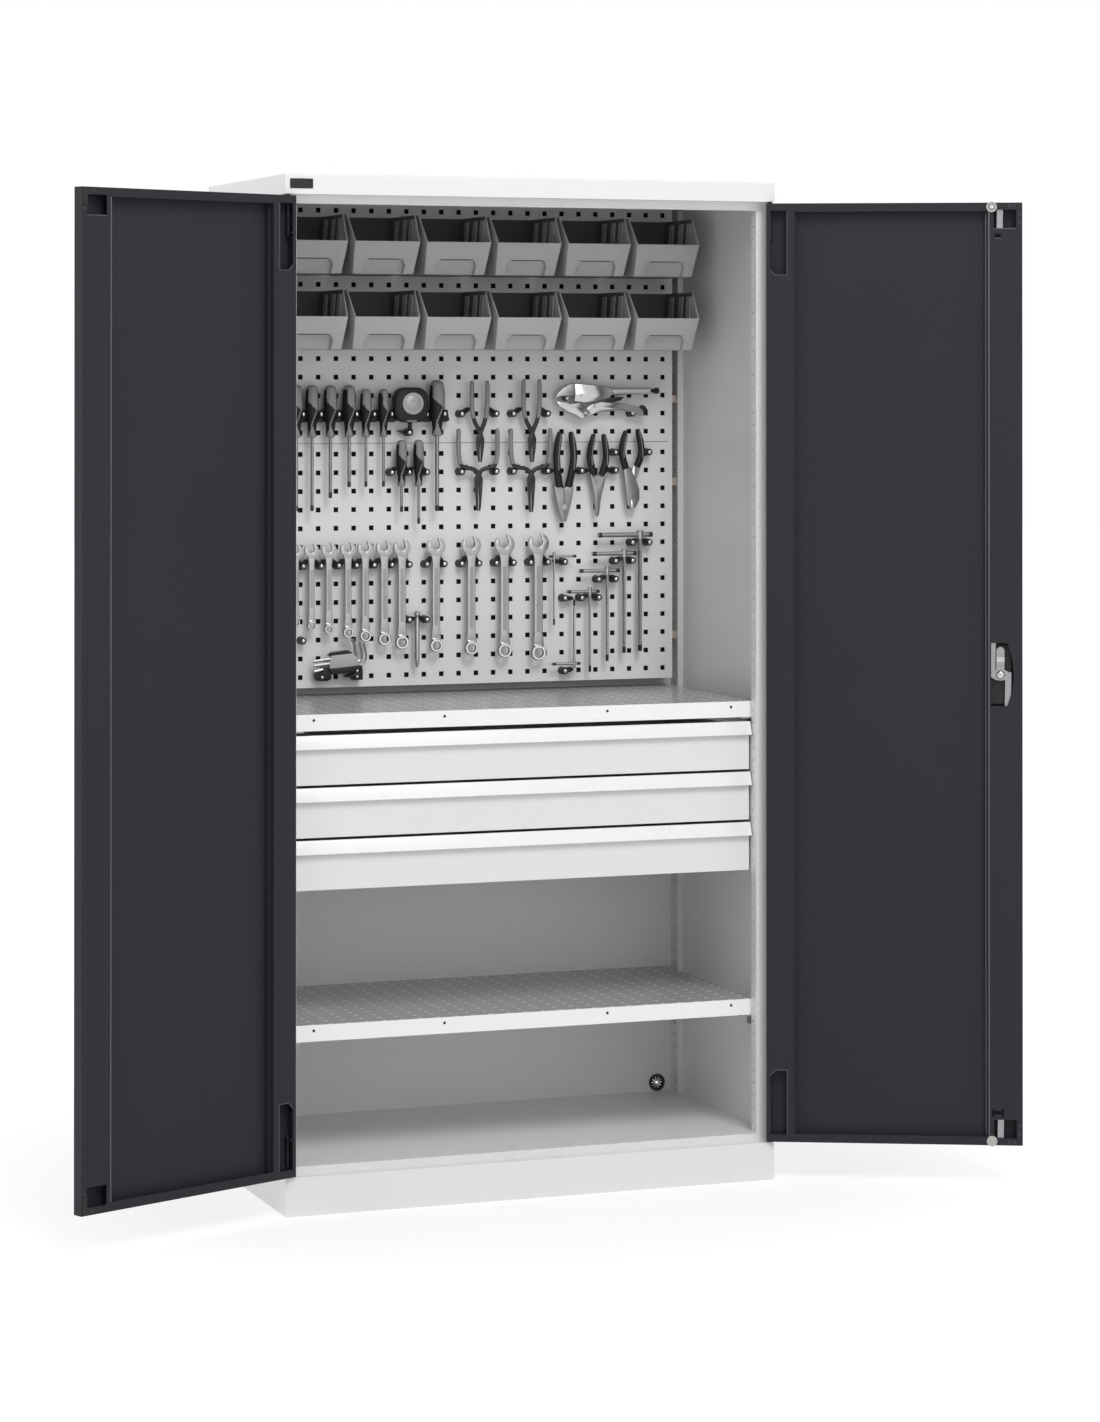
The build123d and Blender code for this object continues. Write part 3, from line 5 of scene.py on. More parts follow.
import bpy
from bpy.props import FloatProperty, FloatVectorProperty, PointerProperty
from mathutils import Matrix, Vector


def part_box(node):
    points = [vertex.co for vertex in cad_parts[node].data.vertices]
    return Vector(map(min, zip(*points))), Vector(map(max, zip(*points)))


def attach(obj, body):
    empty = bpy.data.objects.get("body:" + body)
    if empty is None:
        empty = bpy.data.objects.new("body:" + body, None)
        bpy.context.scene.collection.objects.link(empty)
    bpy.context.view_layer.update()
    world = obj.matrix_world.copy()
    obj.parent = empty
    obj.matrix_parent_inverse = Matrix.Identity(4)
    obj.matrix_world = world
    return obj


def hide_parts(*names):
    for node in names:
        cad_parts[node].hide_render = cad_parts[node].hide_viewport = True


bl_info = {
    "name": "Tool cabinet",
    "version": (1, 0, 0),
    "blender": (4, 5, 0),
    "location": "View3D > Sidebar > Cabinet",
    "description": "Adds the finishes, bins, hung tools and trim of a steel tool cabinet",
    "category": "Object",
}

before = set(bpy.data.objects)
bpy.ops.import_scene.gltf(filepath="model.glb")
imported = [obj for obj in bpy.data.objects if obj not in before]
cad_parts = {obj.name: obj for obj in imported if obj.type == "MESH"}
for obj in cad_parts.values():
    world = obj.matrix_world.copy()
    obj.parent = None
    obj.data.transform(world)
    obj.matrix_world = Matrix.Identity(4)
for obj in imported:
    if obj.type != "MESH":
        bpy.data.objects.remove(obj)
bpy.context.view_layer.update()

# Lengths are in millimetres, except in the property groups, the materials and the stage: those are in metres.
MM = 0.001
BOARD_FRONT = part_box("pegboard_upper")[0].y / MM
TOOL_PLANE = BOARD_FRONT - 22     # middle of the hung tools
GRIP_PLANE = TOOL_PLANE - 4       # middle of the thick grips
HOLE_PITCH = 38.0
UPPER_ROW, MIDDLE_ROW, LOWER_ROW = 1533.3, 1413.3, 1223.3    # heights of the main rows of holders


# ---- sizes and colours that a user would change ------------------------------------------------


def colour(name, description, default):
    return FloatVectorProperty(name=name, description=description, subtype="COLOR", size=3,
                               min=0, max=1, default=default)


def length(name, description, default):
    return FloatProperty(name=name, description=description, default=default, unit="LENGTH", min=0)


class CabinetColours(bpy.types.PropertyGroup):
    body: colour("Body", "Powder coat of the carcass", (0.77, 0.77, 0.76))
    inside: colour("Inside", "Powder coat of the inner sheets", (0.74, 0.74, 0.73))
    doors: colour("Doors", "Powder coat of the doors", (0.024, 0.026, 0.031))
    handles: colour("Handles", "Lacquer of the drawer handles", (0.84, 0.84, 0.83))
    boards: colour("Tool panels", "Powder coat of the perforated panels", (0.72, 0.72, 0.71))
    bins: colour("Bins", "Moulded plastic of the bins", (0.43, 0.42, 0.425))
    black: colour("Black plastic", "Holders, bushes and lock case", (0.010, 0.010, 0.011))
    grips: colour("Grips", "Grey part of the tool grips", (0.22, 0.22, 0.225))
    zinc: colour("Zinc", "Plated brackets, slides and rods", (0.33, 0.335, 0.345))
    steel: colour("Tool steel", "Satin chrome of the wrenches and keys", (0.40, 0.40, 0.395))
    chrome: colour("Chrome", "Bright chrome of screws and pliers", (0.52, 0.52, 0.515))


class CabinetSizes(bpy.types.PropertyGroup):
    bin_wall: length("Bin wall", "Thickness of the bins' walls", 0.0024)
    bin_edge: length("Bin edge", "Rounding of the bins' edges", 0.0012)
    rivet: length("Rivet", "Diameter of the doors' rivets", 0.0055)
    screw_head: length("Screw head", "Diameter of the holders' screws", 0.0095)
    lamp_size: length("Lamp size", "Side of the large soft lamps", 4.0)


# ---- node groups ---------------------------------------------------------------------------------


def connect(tree, node, inputs):
    """Set or link a node's inputs: inputs maps a socket's name or index to a value or another socket."""
    for place, value in inputs.items():
        if isinstance(value, bpy.types.NodeSocket):
            tree.links.new(value, node.inputs[place])
        else:
            node.inputs[place].default_value = value
    return node


def add(tree, kind, inputs=None, **settings):
    """A new shader node with its settings and inputs."""
    node = tree.nodes.new("ShaderNode" + kind)
    for name, value in settings.items():
        setattr(node, name, value)
    return connect(tree, node, inputs or {})


def combine(tree, operation, first, second):
    """The result of a maths node on two values or sockets."""
    return add(tree, "Math", {0: first, 1: second}, operation=operation).outputs[0]


def noise(tree, scale, detail, vector):
    return add(tree, "TexNoise", {"Scale": scale, "Detail": detail, "Vector": vector}).outputs["Fac"]


def map_range(tree, value, **ends):
    """A value carried from one range to another; ends are from_min, from_max, to_min and to_max."""
    inputs = {name.replace("_", " ").title(): end for name, end in ends.items()}
    return add(tree, "MapRange", {"Value": value, **inputs}).outputs[0]


def object_place(tree):
    return add(tree, "TexCoord").outputs["Object"]


def new_group(name, **inputs):
    """An empty shader group with float inputs; returns it with the sockets that carry them."""
    group = bpy.data.node_groups.new(name, "ShaderNodeTree")
    for label, value in inputs.items():
        group.interface.new_socket(label, in_out="INPUT", socket_type="NodeSocketFloat").default_value = value
    return group, group.nodes.new("NodeGroupInput").outputs


def close_group(group, **outputs):
    """Give a group its float outputs."""
    for label in outputs:
        group.interface.new_socket(label, in_out="OUTPUT", socket_type="NodeSocketFloat")
    connect(group, group.nodes.new("NodeGroupOutput"), outputs)


def orange_peel_group():
    """Grain of powder coat or moulded plastic: a fine height, and a slow change of shade."""
    group, given = new_group("orange_peel", Scale=900.0)
    place = object_place(group)
    close_group(group, Height=noise(group, given["Scale"], 2.0, place), Shade=noise(group, 3.5, 4.0, place))


def brushed_group():
    """Fine lines along the height, as left by grinding or rolling."""
    group, given = new_group("brushed", Scale=700.0)
    place = object_place(group)
    squeezed = add(group, "VectorMath", {0: place, 1: (1, 1, 0.06)}, operation="MULTIPLY").outputs[0]
    close_group(group, Height=noise(group, given["Scale"], 3.0, squeezed), Shade=noise(group, 60.0, 5.0, place))


def wear_group():
    """Mask of rubbed edges: where the surface is sharply convex, broken up by noise."""
    group, given = new_group("edge_wear", Amount=0.4)
    sharp = map_range(group, add(group, "NewGeometry").outputs["Pointiness"], from_min=0.52, from_max=0.62)
    broken = combine(group, "MULTIPLY", sharp, noise(group, 120.0, 4.0, object_place(group)))
    close_group(group, Mask=combine(group, "MULTIPLY", broken, given["Amount"]))


def dimple_group():
    """Mask of the oval marks in a square lattice on the upper side of the shelves; sizes are in metres."""
    group, given = new_group("shelf_dimples", Pitch=0.0365, HalfWidth=0.0042, HalfDepth=0.0062)
    place = add(group, "SeparateXYZ", {0: object_place(group)}).outputs
    half = combine(group, "MULTIPLY", given["Pitch"], 0.5)
    squares = [combine(group, "POWER", combine(group, "DIVIDE", combine(group, "PINGPONG", place[axis], half),
                                         given[size]), 2) for axis, size in (("X", "HalfWidth"), ("Y", "HalfDepth"))]
    oval = map_range(group, combine(group, "ADD", *squares), from_min=1.15, from_max=0.75)
    facing = add(group, "SeparateXYZ", {0: add(group, "NewGeometry").outputs["Normal"]}).outputs
    upper = combine(group, "GREATER_THAN", facing["Z"], 0.7)
    close_group(group, Mask=combine(group, "MULTIPLY", oval, upper), Top=upper)


# ---- materials -----------------------------------------------------------------------------------


def shaded(colour_value, factor):
    return [min(1.0, max(0.0, part * factor)) for part in colour_value]


def mixed(tree, first, second, factor):
    """A colour between two by a factor socket; the first may be a socket too."""
    if not isinstance(first, bpy.types.NodeSocket):
        first = (*first, 1)
    node = add(tree, "Mix", {"A": first, "B": (*second, 1), "Factor": factor}, data_type="RGBA")
    return node.outputs["Result"]


def from_group(tree, name, **inputs):
    return add(tree, "Group", inputs, node_tree=bpy.data.node_groups[name]).outputs


def finish_material(name, base, roughness, metallic=0.0, group="orange_peel", scale=900.0, bump=0.15,
                    variation=0.05, rough_variation=0.06, wear=None, coat=0.0, specular=0.5):
    """A Principled material whose colour, roughness and bump vary with one of the grain groups."""
    material = bpy.data.materials.new(name)
    material.use_nodes = True
    tree = material.node_tree
    grain = from_group(tree, group, Scale=scale)
    tone = mixed(tree, shaded(base, 1 - variation), shaded(base, 1 + variation), grain["Shade"])
    if wear:
        tone = mixed(tree, tone, wear, from_group(tree, "edge_wear")["Mask"])
    rough = map_range(tree, grain["Shade"], to_min=roughness - rough_variation, to_max=roughness + rough_variation)
    relief = add(tree, "Bump", {"Strength": bump, "Distance": 0.0002, "Height": grain["Height"]})
    connect(tree, tree.nodes["Principled BSDF"],
            {"Base Color": tone, "Roughness": rough, "Metallic": metallic, "Coat Weight": coat,
             "Specular IOR Level": specular, "Normal": relief.outputs["Normal"]})
    return material


def metal(name, base, roughness, scale, bump, variation, rough_variation=0.08, metallic=1.0):
    finish_material(name, base, roughness, metallic, "brushed", scale, bump, variation, rough_variation)


def shelf_material(base):
    """Powder coat with the lattice of pale marks that the shelves have on top; the upper side is painted darker, as
    painted shade.
    """
    tree = finish_material("shelf_coat_painted_shade", base, 0.24, bump=0.12, variation=0.02).node_tree
    shader = tree.nodes["Principled BSDF"]
    marks = from_group(tree, "shelf_dimples")
    plain = shader.inputs["Base Color"].links[0].from_socket
    # Painted shade: upward faces darkened to under half of the coat's tone, the marks less so.
    top = mixed(tree, plain, shaded(base, 0.44), marks["Top"])
    connect(tree, shader, {"Base Color": mixed(tree, top, shaded(base, 0.85), marks["Mask"])})


def make_materials():
    """All the finishes, from the colours of the property group."""
    c = bpy.context.scene.cabinet_colours
    for group in (orange_peel_group, brushed_group, wear_group, dimple_group):
        group()
    finish_material("body_coat", c.body, 0.32, bump=0.08, variation=0.006, rough_variation=0.01)
    finish_material("inner_coat", c.inside, 0.36, bump=0.08, variation=0.008, rough_variation=0.01)
    finish_material("door_coat", c.doors, 0.50, bump=0.20, variation=0.07, specular=0.14)
    # A lighter copy of the door coat for the folds, lips, slot edge and rivet rims: painted highlight.
    finish_material("door_painted_highlight", shaded(c.doors, 3.0), 0.40, bump=0.10, variation=0.10)
    finish_material("handle_lacquer", c.handles, 0.30, bump=0.05, variation=0.015, coat=0.3)
    finish_material("board_coat", c.boards, 0.45, bump=0.10, variation=0.008, rough_variation=0.02)
    # Near black for the liners behind holes, the rod guides' slots and the rivets' middles: painted shade.
    finish_material("painted_shade_black", (0.006, 0.006, 0.006), 0.9, scale=600, bump=0.1, specular=0.1)
    finish_material("bin_moulding", c.bins, 0.52, scale=1600, bump=0.22, variation=0.04)
    finish_material("bin_shade", shaded(c.bins, 0.26), 0.60, scale=1600, bump=0.22, variation=0.06, specular=0.2)
    finish_material("black_moulding", c.black, 0.40, scale=1800, bump=0.15, variation=0.15, specular=0.25,
                    wear=(0.07, 0.07, 0.07))
    finish_material("grip_black", (0.010, 0.010, 0.011), 0.46, scale=1500, bump=0.25, variation=0.15,
                    specular=0.25)
    finish_material("grip_grey", c.grips, 0.46, scale=1500, bump=0.2, variation=0.10)
    finish_material("matt_rubber", (0.022, 0.022, 0.022), 0.72, scale=1200, bump=0.2, variation=0.12)
    finish_material("pale_rubber", (0.42, 0.395, 0.385), 0.55, scale=1200, bump=0.1, variation=0.05)
    metal("zinc_plate", c.zinc, 0.34, 500, 0.2, 0.10)
    metal("warm_zinc", (0.70, 0.60, 0.52), 0.38, 500, 0.2, 0.12)
    metal("satin_chrome", c.steel, 0.30, 900, 0.25, 0.10)
    metal("bright_chrome", c.chrome, 0.12, 1200, 0.05, 0.04, 0.04)
    metal("dull_chrome", shaded(c.steel, 0.72), 0.38, 900, 0.3, 0.2)
    # Lighter steel: the polished fixed grip of the locking pliers, and painted highlights on the wrench rings' front
    # band and the door buffer's centre.
    metal("polished_steel_and_highlight", (0.70, 0.70, 0.69), 0.30, 900, 0.1, 0.1, 0.06)
    metal("dark_steel", (0.020, 0.020, 0.022), 0.34, 900, 0.2, 0.15, metallic=0.3)
    shelf_material(shaded(c.inside, 1.16))


# ---- modelling helpers ---------------------------------------------------------------------------

SELECT_ALL = (bpy.ops.mesh.select_all, {"action": "SELECT"})
OUTWARD = (bpy.ops.mesh.normals_make_consistent, {"inside": False})


def box_of(node):
    """Lowest and highest corner of a CAD node."""
    return [[part / MM for part in corner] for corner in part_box(node)]


def deselect():
    if bpy.context.mode != "OBJECT":
        bpy.ops.object.mode_set(mode="OBJECT")
    bpy.ops.object.select_all(action="DESELECT")


def only(piece):
    """Select one object alone and make it active."""
    deselect()
    piece.select_set(True)
    bpy.context.view_layer.objects.active = piece


def active(name):
    """The object that an operator has just made, under its name."""
    piece = bpy.context.active_object
    piece.name = name
    piece.data.name = name
    return piece


def settle(piece):
    """Put the object's place, turn and size into its mesh."""
    only(piece)
    bpy.ops.object.transform_apply(location=True, rotation=True, scale=True)
    return piece


def run(steps):
    """Run mesh operators in edit mode."""
    bpy.ops.object.mode_set(mode="EDIT")
    for operator, options in steps:
        operator(**options)
    bpy.ops.object.mode_set(mode="OBJECT")


def edit(piece, *steps):
    """Run edit-mode operators on the whole of a piece."""
    only(piece)
    run([(bpy.ops.mesh.select_mode, {"type": "VERT"}), SELECT_ALL, *steps])


def with_faces(piece, test, *steps):
    """Run edit-mode operators on the faces where a test on centre and normal holds."""
    edit(piece, (bpy.ops.mesh.select_mode, {"type": "FACE"}), (bpy.ops.mesh.select_all, {"action": "DESELECT"}))
    for face in piece.data.polygons:
        face.select = test(face.center / MM, face.normal)
    run(steps)


def bevel(piece, width, segments=2, angle=30.0):
    """Round the sharp edges of a piece."""
    only(piece)
    rounding = piece.modifiers.new("rounding", "BEVEL")
    rounding.width = width * MM
    rounding.segments = segments
    rounding.limit_method = "ANGLE"
    rounding.angle_limit = radians(angle)
    bpy.ops.object.modifier_apply(modifier="rounding")
    bpy.ops.object.shade_smooth_by_angle(angle=radians(40))


def paint(piece, *materials):
    piece.data.materials.clear()
    for name in materials:
        piece.data.materials.append(bpy.data.materials[name])
    return piece


def paint_faces(piece, slot_index, test):
    """Use another of a piece's materials where a test on the face's centre and normal holds."""
    for face in piece.data.polygons:
        if test(face.center / MM, face.normal):
            face.material_index = slot_index


def join(name, pieces):
    """Several meshes as one object."""
    only(pieces[0])
    for piece in pieces:
        piece.select_set(True)
    bpy.ops.object.join()
    return active(name)


def duplicate(piece, name, move):
    """A copy with its own mesh, moved."""
    copy = piece.copy()
    copy.data = piece.data.copy()
    copy.name = name
    bpy.context.scene.collection.objects.link(copy)
    copy.location = Vector(move) * MM
    return settle(copy)


def from_corners(name, corners, fill):
    """A closed line, or a face, through the corners."""
    deselect()
    bpy.ops.mesh.primitive_circle_add(vertices=len(corners), radius=1, fill_type=fill)
    piece = active(name)
    for vertex, corner in zip(piece.data.vertices, corners):
        vertex.co = Vector(corner) * MM
    return piece


def drawn_out(name, corners, move, material, rounding, segments, angle=30.0):
    """A flat outline drawn out along a vector, with rounded edges."""
    piece = from_corners(name, corners, "NGON")
    shift = {"TRANSFORM_OT_translate": {"value": [part * MM for part in move]}}
    edit(piece, (bpy.ops.mesh.extrude_region_move, shift), SELECT_ALL, OUTWARD)
    if rounding:
        bevel(piece, rounding, segments, angle)
    return paint(piece, material)


def prism(name, points, y0, y1, material, rounding=0.6, segments=2):
    """A plate whose outline is given in X and Z, from one Y to another."""
    return drawn_out(name, [(x, y0, z) for x, z in points], (0, y1 - y0, 0), material, rounding, segments)


def plate(name, points, half, material, rounding, segments=2):
    """A plate in the middle of the hung tools, with half of its thickness."""
    return prism(name, points, TOOL_PLANE - half, TOOL_PLANE + half, material, rounding, segments)


def box_piece(name, low, high, material, rounding=0.6, segments=2):
    """A rounded block between two corners."""
    deselect()
    centre = [(a + b) / 2 * MM for a, b in zip(low, high)]
    size = [abs(b - a) * MM for a, b in zip(low, high)]
    bpy.ops.mesh.primitive_cube_add(size=1, location=centre, scale=size)
    piece = settle(active(name))
    bevel(piece, rounding, segments)
    return paint(piece, material)


def lathe(name, profile, centre, material, axis="Z", steps=32, scale=(1, 1, 1)):
    """A turned piece: profile gives radius and place along the axis, as a closed line."""
    piece = from_corners(name, [(radius, 0, along) for radius, along in profile], "NOTHING")
    turning = piece.modifiers.new("turning", "SCREW")
    turning.steps = turning.render_steps = steps
    turning.use_merge_vertices = True
    turning.merge_threshold = 1e-6
    bpy.ops.object.modifier_apply(modifier="turning")
    edit(piece, (bpy.ops.mesh.remove_doubles, {"threshold": 2e-6}),
         (bpy.ops.mesh.dissolve_degenerate, {"threshold": 1e-6}), SELECT_ALL, OUTWARD)
    piece.scale = scale
    piece.rotation_euler = {"X": (0, pi / 2, 0), "Y": (-pi / 2, 0, 0), "Z": (0, 0, 0)}[axis]
    piece.location = Vector(centre) * MM
    settle(piece)
    bpy.ops.object.shade_smooth_by_angle(angle=radians(35))
    return paint(piece, material)


def stud(name, place, face, radius, chamfer, depth, material, steps=20):
    """A round head towards the front: flat face, chamfer and straight side."""
    profile = [(0, 0), (face, 0), (radius, chamfer), (radius, depth), (0, depth)]
    return lathe(name, profile, place, material, "Y", steps)


def bent_bar(name, points, diameter, material, plane=TOOL_PLANE, flatten=1.0, resolution=3):
    """A round or flattened bar along points (X, Z, and a share of the diameter) in an upright plane."""
    deselect()
    bpy.ops.curve.primitive_nurbs_path_add()
    curve = bpy.context.active_object.data
    curve.splines.clear()
    spline = curve.splines.new("NURBS")
    spline.points.add(len(points) - 1)
    for knot, (x, z, share) in zip(spline.points, points):
        knot.co = (x * MM, 0, z * MM, 1)
        knot.radius = share
    spline.order_u = 3
    spline.use_endpoint_u = True
    curve.dimensions = "3D"
    curve.bevel_depth = diameter / 2 * MM
    curve.bevel_resolution = resolution
    curve.resolution_u = 6
    curve.use_fill_caps = True
    bpy.ops.object.convert(target="MESH")
    piece = active(name)
    piece.location = (0, plane * MM, 0)
    piece.scale = (1, flatten, 1)
    settle(piece)
    edit(piece, (bpy.ops.mesh.remove_doubles, {"threshold": 1e-6}), OUTWARD)
    bpy.ops.object.shade_smooth_by_angle(angle=radians(50))
    return paint(piece, material)


def carried(piece, body, slot, *nodes):
    """Say which body a piece moves with, and the CAD nodes that it stands for, which are hidden; the slot argument
    is not used.
    """
    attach(piece, body)
    if nodes:
        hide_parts(*nodes)
    return piece


def arc_points(radius, start, end, count, centre=(0, 0)):
    """Points on an arc, by angles in degrees."""
    step = radians(end - start) / (count - 1)
    return [(centre[0] + radius * cos(radians(start) + step * i),
             centre[1] + radius * sin(radians(start) + step * i)) for i in range(count)]


# ---- finishes of the CAD nodes -------------------------------------------------------------------

NODE_FINISHES = {
    "body_coat": ("plinth", "side_panel_left", "side_panel_right", "top_cover", "front_lintel"),
    "inner_coat": ("floor_pan", "back_panel", "rear_upright_left", "rear_upright_right", "drawer_carrier_left",
                   "drawer_carrier_right", "drawer_1_box", "drawer_2_box", "drawer_3_box", "drawer_1_front",
                   "drawer_2_front", "drawer_3_front"),
    "shelf_coat_painted_shade": ("worktop_shelf", "lower_shelf"),
    "door_coat": ("door_left_skin", "door_left_hinge_stile", "door_left_lock_stile", "door_right_skin",
                  "door_right_hinge_stile", "door_right_lock_stile"),
    "board_coat": ("pegboard_upper", "pegboard_lower"),
    "zinc_plate": ("shelf_brackets", "slide_outer_members", "slide_middle_1", "slide_middle_2",
                   "slide_middle_3", "lock_cam", "lock_rod_upper", "lock_rod_lower"),
    "warm_zinc": ("pegboard_clips",),
    "black_moulding": ("name_plate", "pivot_bushes", "door_left_corner_blocks", "lock_housing", "lock_handle"),
    "dark_steel": ("door_left_pivot_pins", "door_right_pivot_pins"),
    "matt_rubber": ("cable_grommet",),
    "pale_rubber": ("door_right_buffers",),
}


class OBJECT_OT_cabinet_finishes(bpy.types.Operator):
    """Make the materials and give the sheet-metal parts their finishes"""
    bl_idname = "object.cabinet_finishes"
    bl_label = "Finishes"

    def execute(self, context):
        make_materials()
        for material, nodes in NODE_FINISHES.items():
            for node in nodes:
                paint(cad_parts[node], material)
        return {"FINISHED"}


# ---- drawers -------------------------------------------------------------------------------------


class OBJECT_OT_cabinet_handles(bpy.types.Operator):
    """Add the full-width drawer handles with their rolled edges"""
    bl_idname = "object.cabinet_handles"
    bl_label = "Drawer handles"

    def execute(self, context):
        for index in (1, 2, 3):
            node = f"drawer_{index}_handle"
            (x0, front, bottom), (x1, back, top) = box_of(node)
            outline = [(back, top), (back - 1.8, top), (back - 3.2, top - 1.0), (front + 0.9, bottom + 2.6),
                       (front + 0.5, bottom + 1.0), (front + 1.2, bottom), (front + 2.2, bottom + 0.2),
                       (front + 2.5, bottom + 1.8), (back - 2.4, top - 4.2), (back, top - 3.5)]
            piece = drawn_out(f"handle_rail_{index}", [(x0, y, z) for y, z in outline], (x1 - x0, 0, 0),
                              "handle_lacquer", 0.35, 2, 15)
            carried(piece, f"drawer_{index}", "handle_white", node)
        return {"FINISHED"}


# ---- bins ----------------------------------------------------------------------------------------


def bin_blank(name):
    """One bin with its back at Y 0 and its base at Z 0: tapered shell, sloping edges, finger recess."""
    base_half, rim_half, depth, height = 64.0, 73.0, 165.0, 120.0
    lip, slope_depth, reach = 65.0, 44.0, 197.0
    recess, recess_half, recess_top = 13.0, 42, 30
    sizes = bpy.context.scene.cabinet_sizes
    lean = (reach - depth) * height / lip
    deselect()
    bpy.ops.mesh.primitive_cube_add(size=2)
    piece = active(name)
    for vertex in piece.data.vertices:
        upper = vertex.co.z > 0
        half = rim_half if upper else base_half
        front = -(depth + lean) if upper else -depth
        vertex.co = Vector((half * (1 if vertex.co.x > 0 else -1), front if vertex.co.y < 0 else 0,
                            height if upper else 0)) * MM
    with_faces(piece, lambda c, n: c.z > height - 1, (bpy.ops.mesh.delete, {"type": "ONLY_FACE"}))
    cuts = [((0, -reach, lip), (0, lip - height, slope_depth), True), ((-recess_half, 0, 0), (1, 0, 0.1), False),
            ((recess_half, 0, 0), (1, 0, -0.1), False), ((0, 0, recess_top), (0, 0, 1), False),
            ((0, recess - depth, 0), (0, 1, 0), False)]
    for place, normal, trim in cuts:
        edit(piece, (bpy.ops.mesh.bisect, {"plane_co": Vector(place) * MM,
                                           "plane_no": Vector(normal).normalized(), "clear_outer": trim}))
    with_faces(piece, lambda c, n: c.y < -depth - 1 and abs(c.x) < recess_half - 1 and c.z < recess_top - 1,
               (bpy.ops.mesh.extrude_region_move, {"TRANSFORM_OT_translate": {"value": (0, recess * MM, 0)}}))
    edit(piece, (bpy.ops.mesh.remove_doubles, {"threshold": 1e-6}))
    with_faces(piece, lambda c, n: c.z < 0.5 and abs(c.x) < recess_half - 1 and c.y < recess / 2 - depth + 2,
               (bpy.ops.mesh.delete, {"type": "FACE"}))
    edit(piece, OUTWARD)
    wall = piece.modifiers.new("wall", "SOLIDIFY")
    wall.thickness = sizes.bin_wall
    wall.offset = -1
    wall.use_even_offset = True
    bpy.ops.object.modifier_apply(modifier="wall")
    bevel(piece, sizes.bin_edge / MM, 2, 25)
    paint(piece, "bin_moulding", "bin_shade")
    # In shade: the inner side of the back, the floor, the inner sides, and the roof of the recess.
    paint_faces(piece, 1, lambda c, n: (n.y < -0.9 and c.y > -8) or (n.z > 0.9 and c.z < 8) or
                (n.x * c.x < 0 and abs(n.x) > 0.8 and c.y > 6 - reach * 0.75) or
                (c.y < -depth and abs(c.x) < recess_half and abs(c.z - recess_top - 1) < 3 and n.z < -0.6))
    extras = []
    for side in (-1, 1):
        for forward in (34, 86, 128):
            rib = box_piece("rib", (-1.2, -forward - 22, 3), (1.2, -forward, 112), "bin_moulding", 0.5, 1)
            rib.rotation_euler = (0, side * atan2(rim_half - base_half, height), 0)
            rib.location = Vector((side * (base_half - 3.1), 0, 0)) * MM
            extras.append(settle(rib))
        fillet = [(45.1, 31), (44, 20)] + arc_points(10, 0, 90, 6, (31.5, 20))
        corner = prism("recess_corner", [(side * x, z) for x, z in fillet], -depth, recess - depth,
                       "bin_moulding", 0)
        for vertex in corner.data.vertices:
            vertex.co.y += 0.15 * MM - vertex.co.z * (reach - depth) / lip
        extras.append(corner)
    return join(name, [piece] + extras)


class OBJECT_OT_cabinet_bins(bpy.types.Operator):
    """Add two rows of six open bins on the upper tool panel"""
    bl_idname = "object.cabinet_bins"
    bl_label = "Bins"

    def execute(self, context):
        blank = bin_blank("bin_blank")
        half_width = 73
        for row in ("upper", "lower"):
            node = f"bin_row_{row}"
            (x0, _, bottom), (x1, back, _) = box_of(node)
            pitch = (x1 - x0 - 2 * half_width) / 5
            for i in range(6):
                copy = duplicate(blank, f"bin_{row}_{i + 1}", (x0 + half_width + pitch * i, back, bottom))
                carried(copy, "cabinet", "bin_plastic", node)
        bpy.data.objects.remove(blank)
        return {"FINISHED"}


# ---- screwdrivers and tape measure ---------------------------------------------------------------

# X, top of the grip, length of the grip, tip, diameter, left edge of the pale band
SCREWDRIVERS = ((-358, 1593.3, 108, 1336, 26, -0.5), (-325, 1593.3, 108, 1336, 26, -0.5),
                (-286, 1593.3, 108, 1362, 27, -0.48), (-246, 1593.3, 108, 1384, 27, -0.2),
                (-210, 1585.3, 100, 1384, 23, -0.5), (-172, 1585.3, 100, 1384, 22, -0.1),
                (-56, 1603.3, 116, 1333, 31, -0.55), (-133, 1480.3, 97, 1332, 23, -0.45),
                (-96, 1480.3, 97, 1307, 22, -0.45))
# Radius and place along a grip, as shares of its radius and length
GRIP_SHAPE = ((0, 0), (0.34, 0.004), (0.62, 0.018), (0.82, 0.05), (0.95, 0.11), (1.0, 0.2), (1.03, 0.34),
              (1.03, 0.46), (0.96, 0.58), (0.84, 0.68), (0.72, 0.77), (0.66, 0.85), (0.68, 0.92), (0.72, 0.96),
              (0.66, 0.985), (0.3, 1.0), (0, 1.0))
GRIP_TURN = (0.9375, 0.348)       # cosine and sine of the pale band's turn towards the left


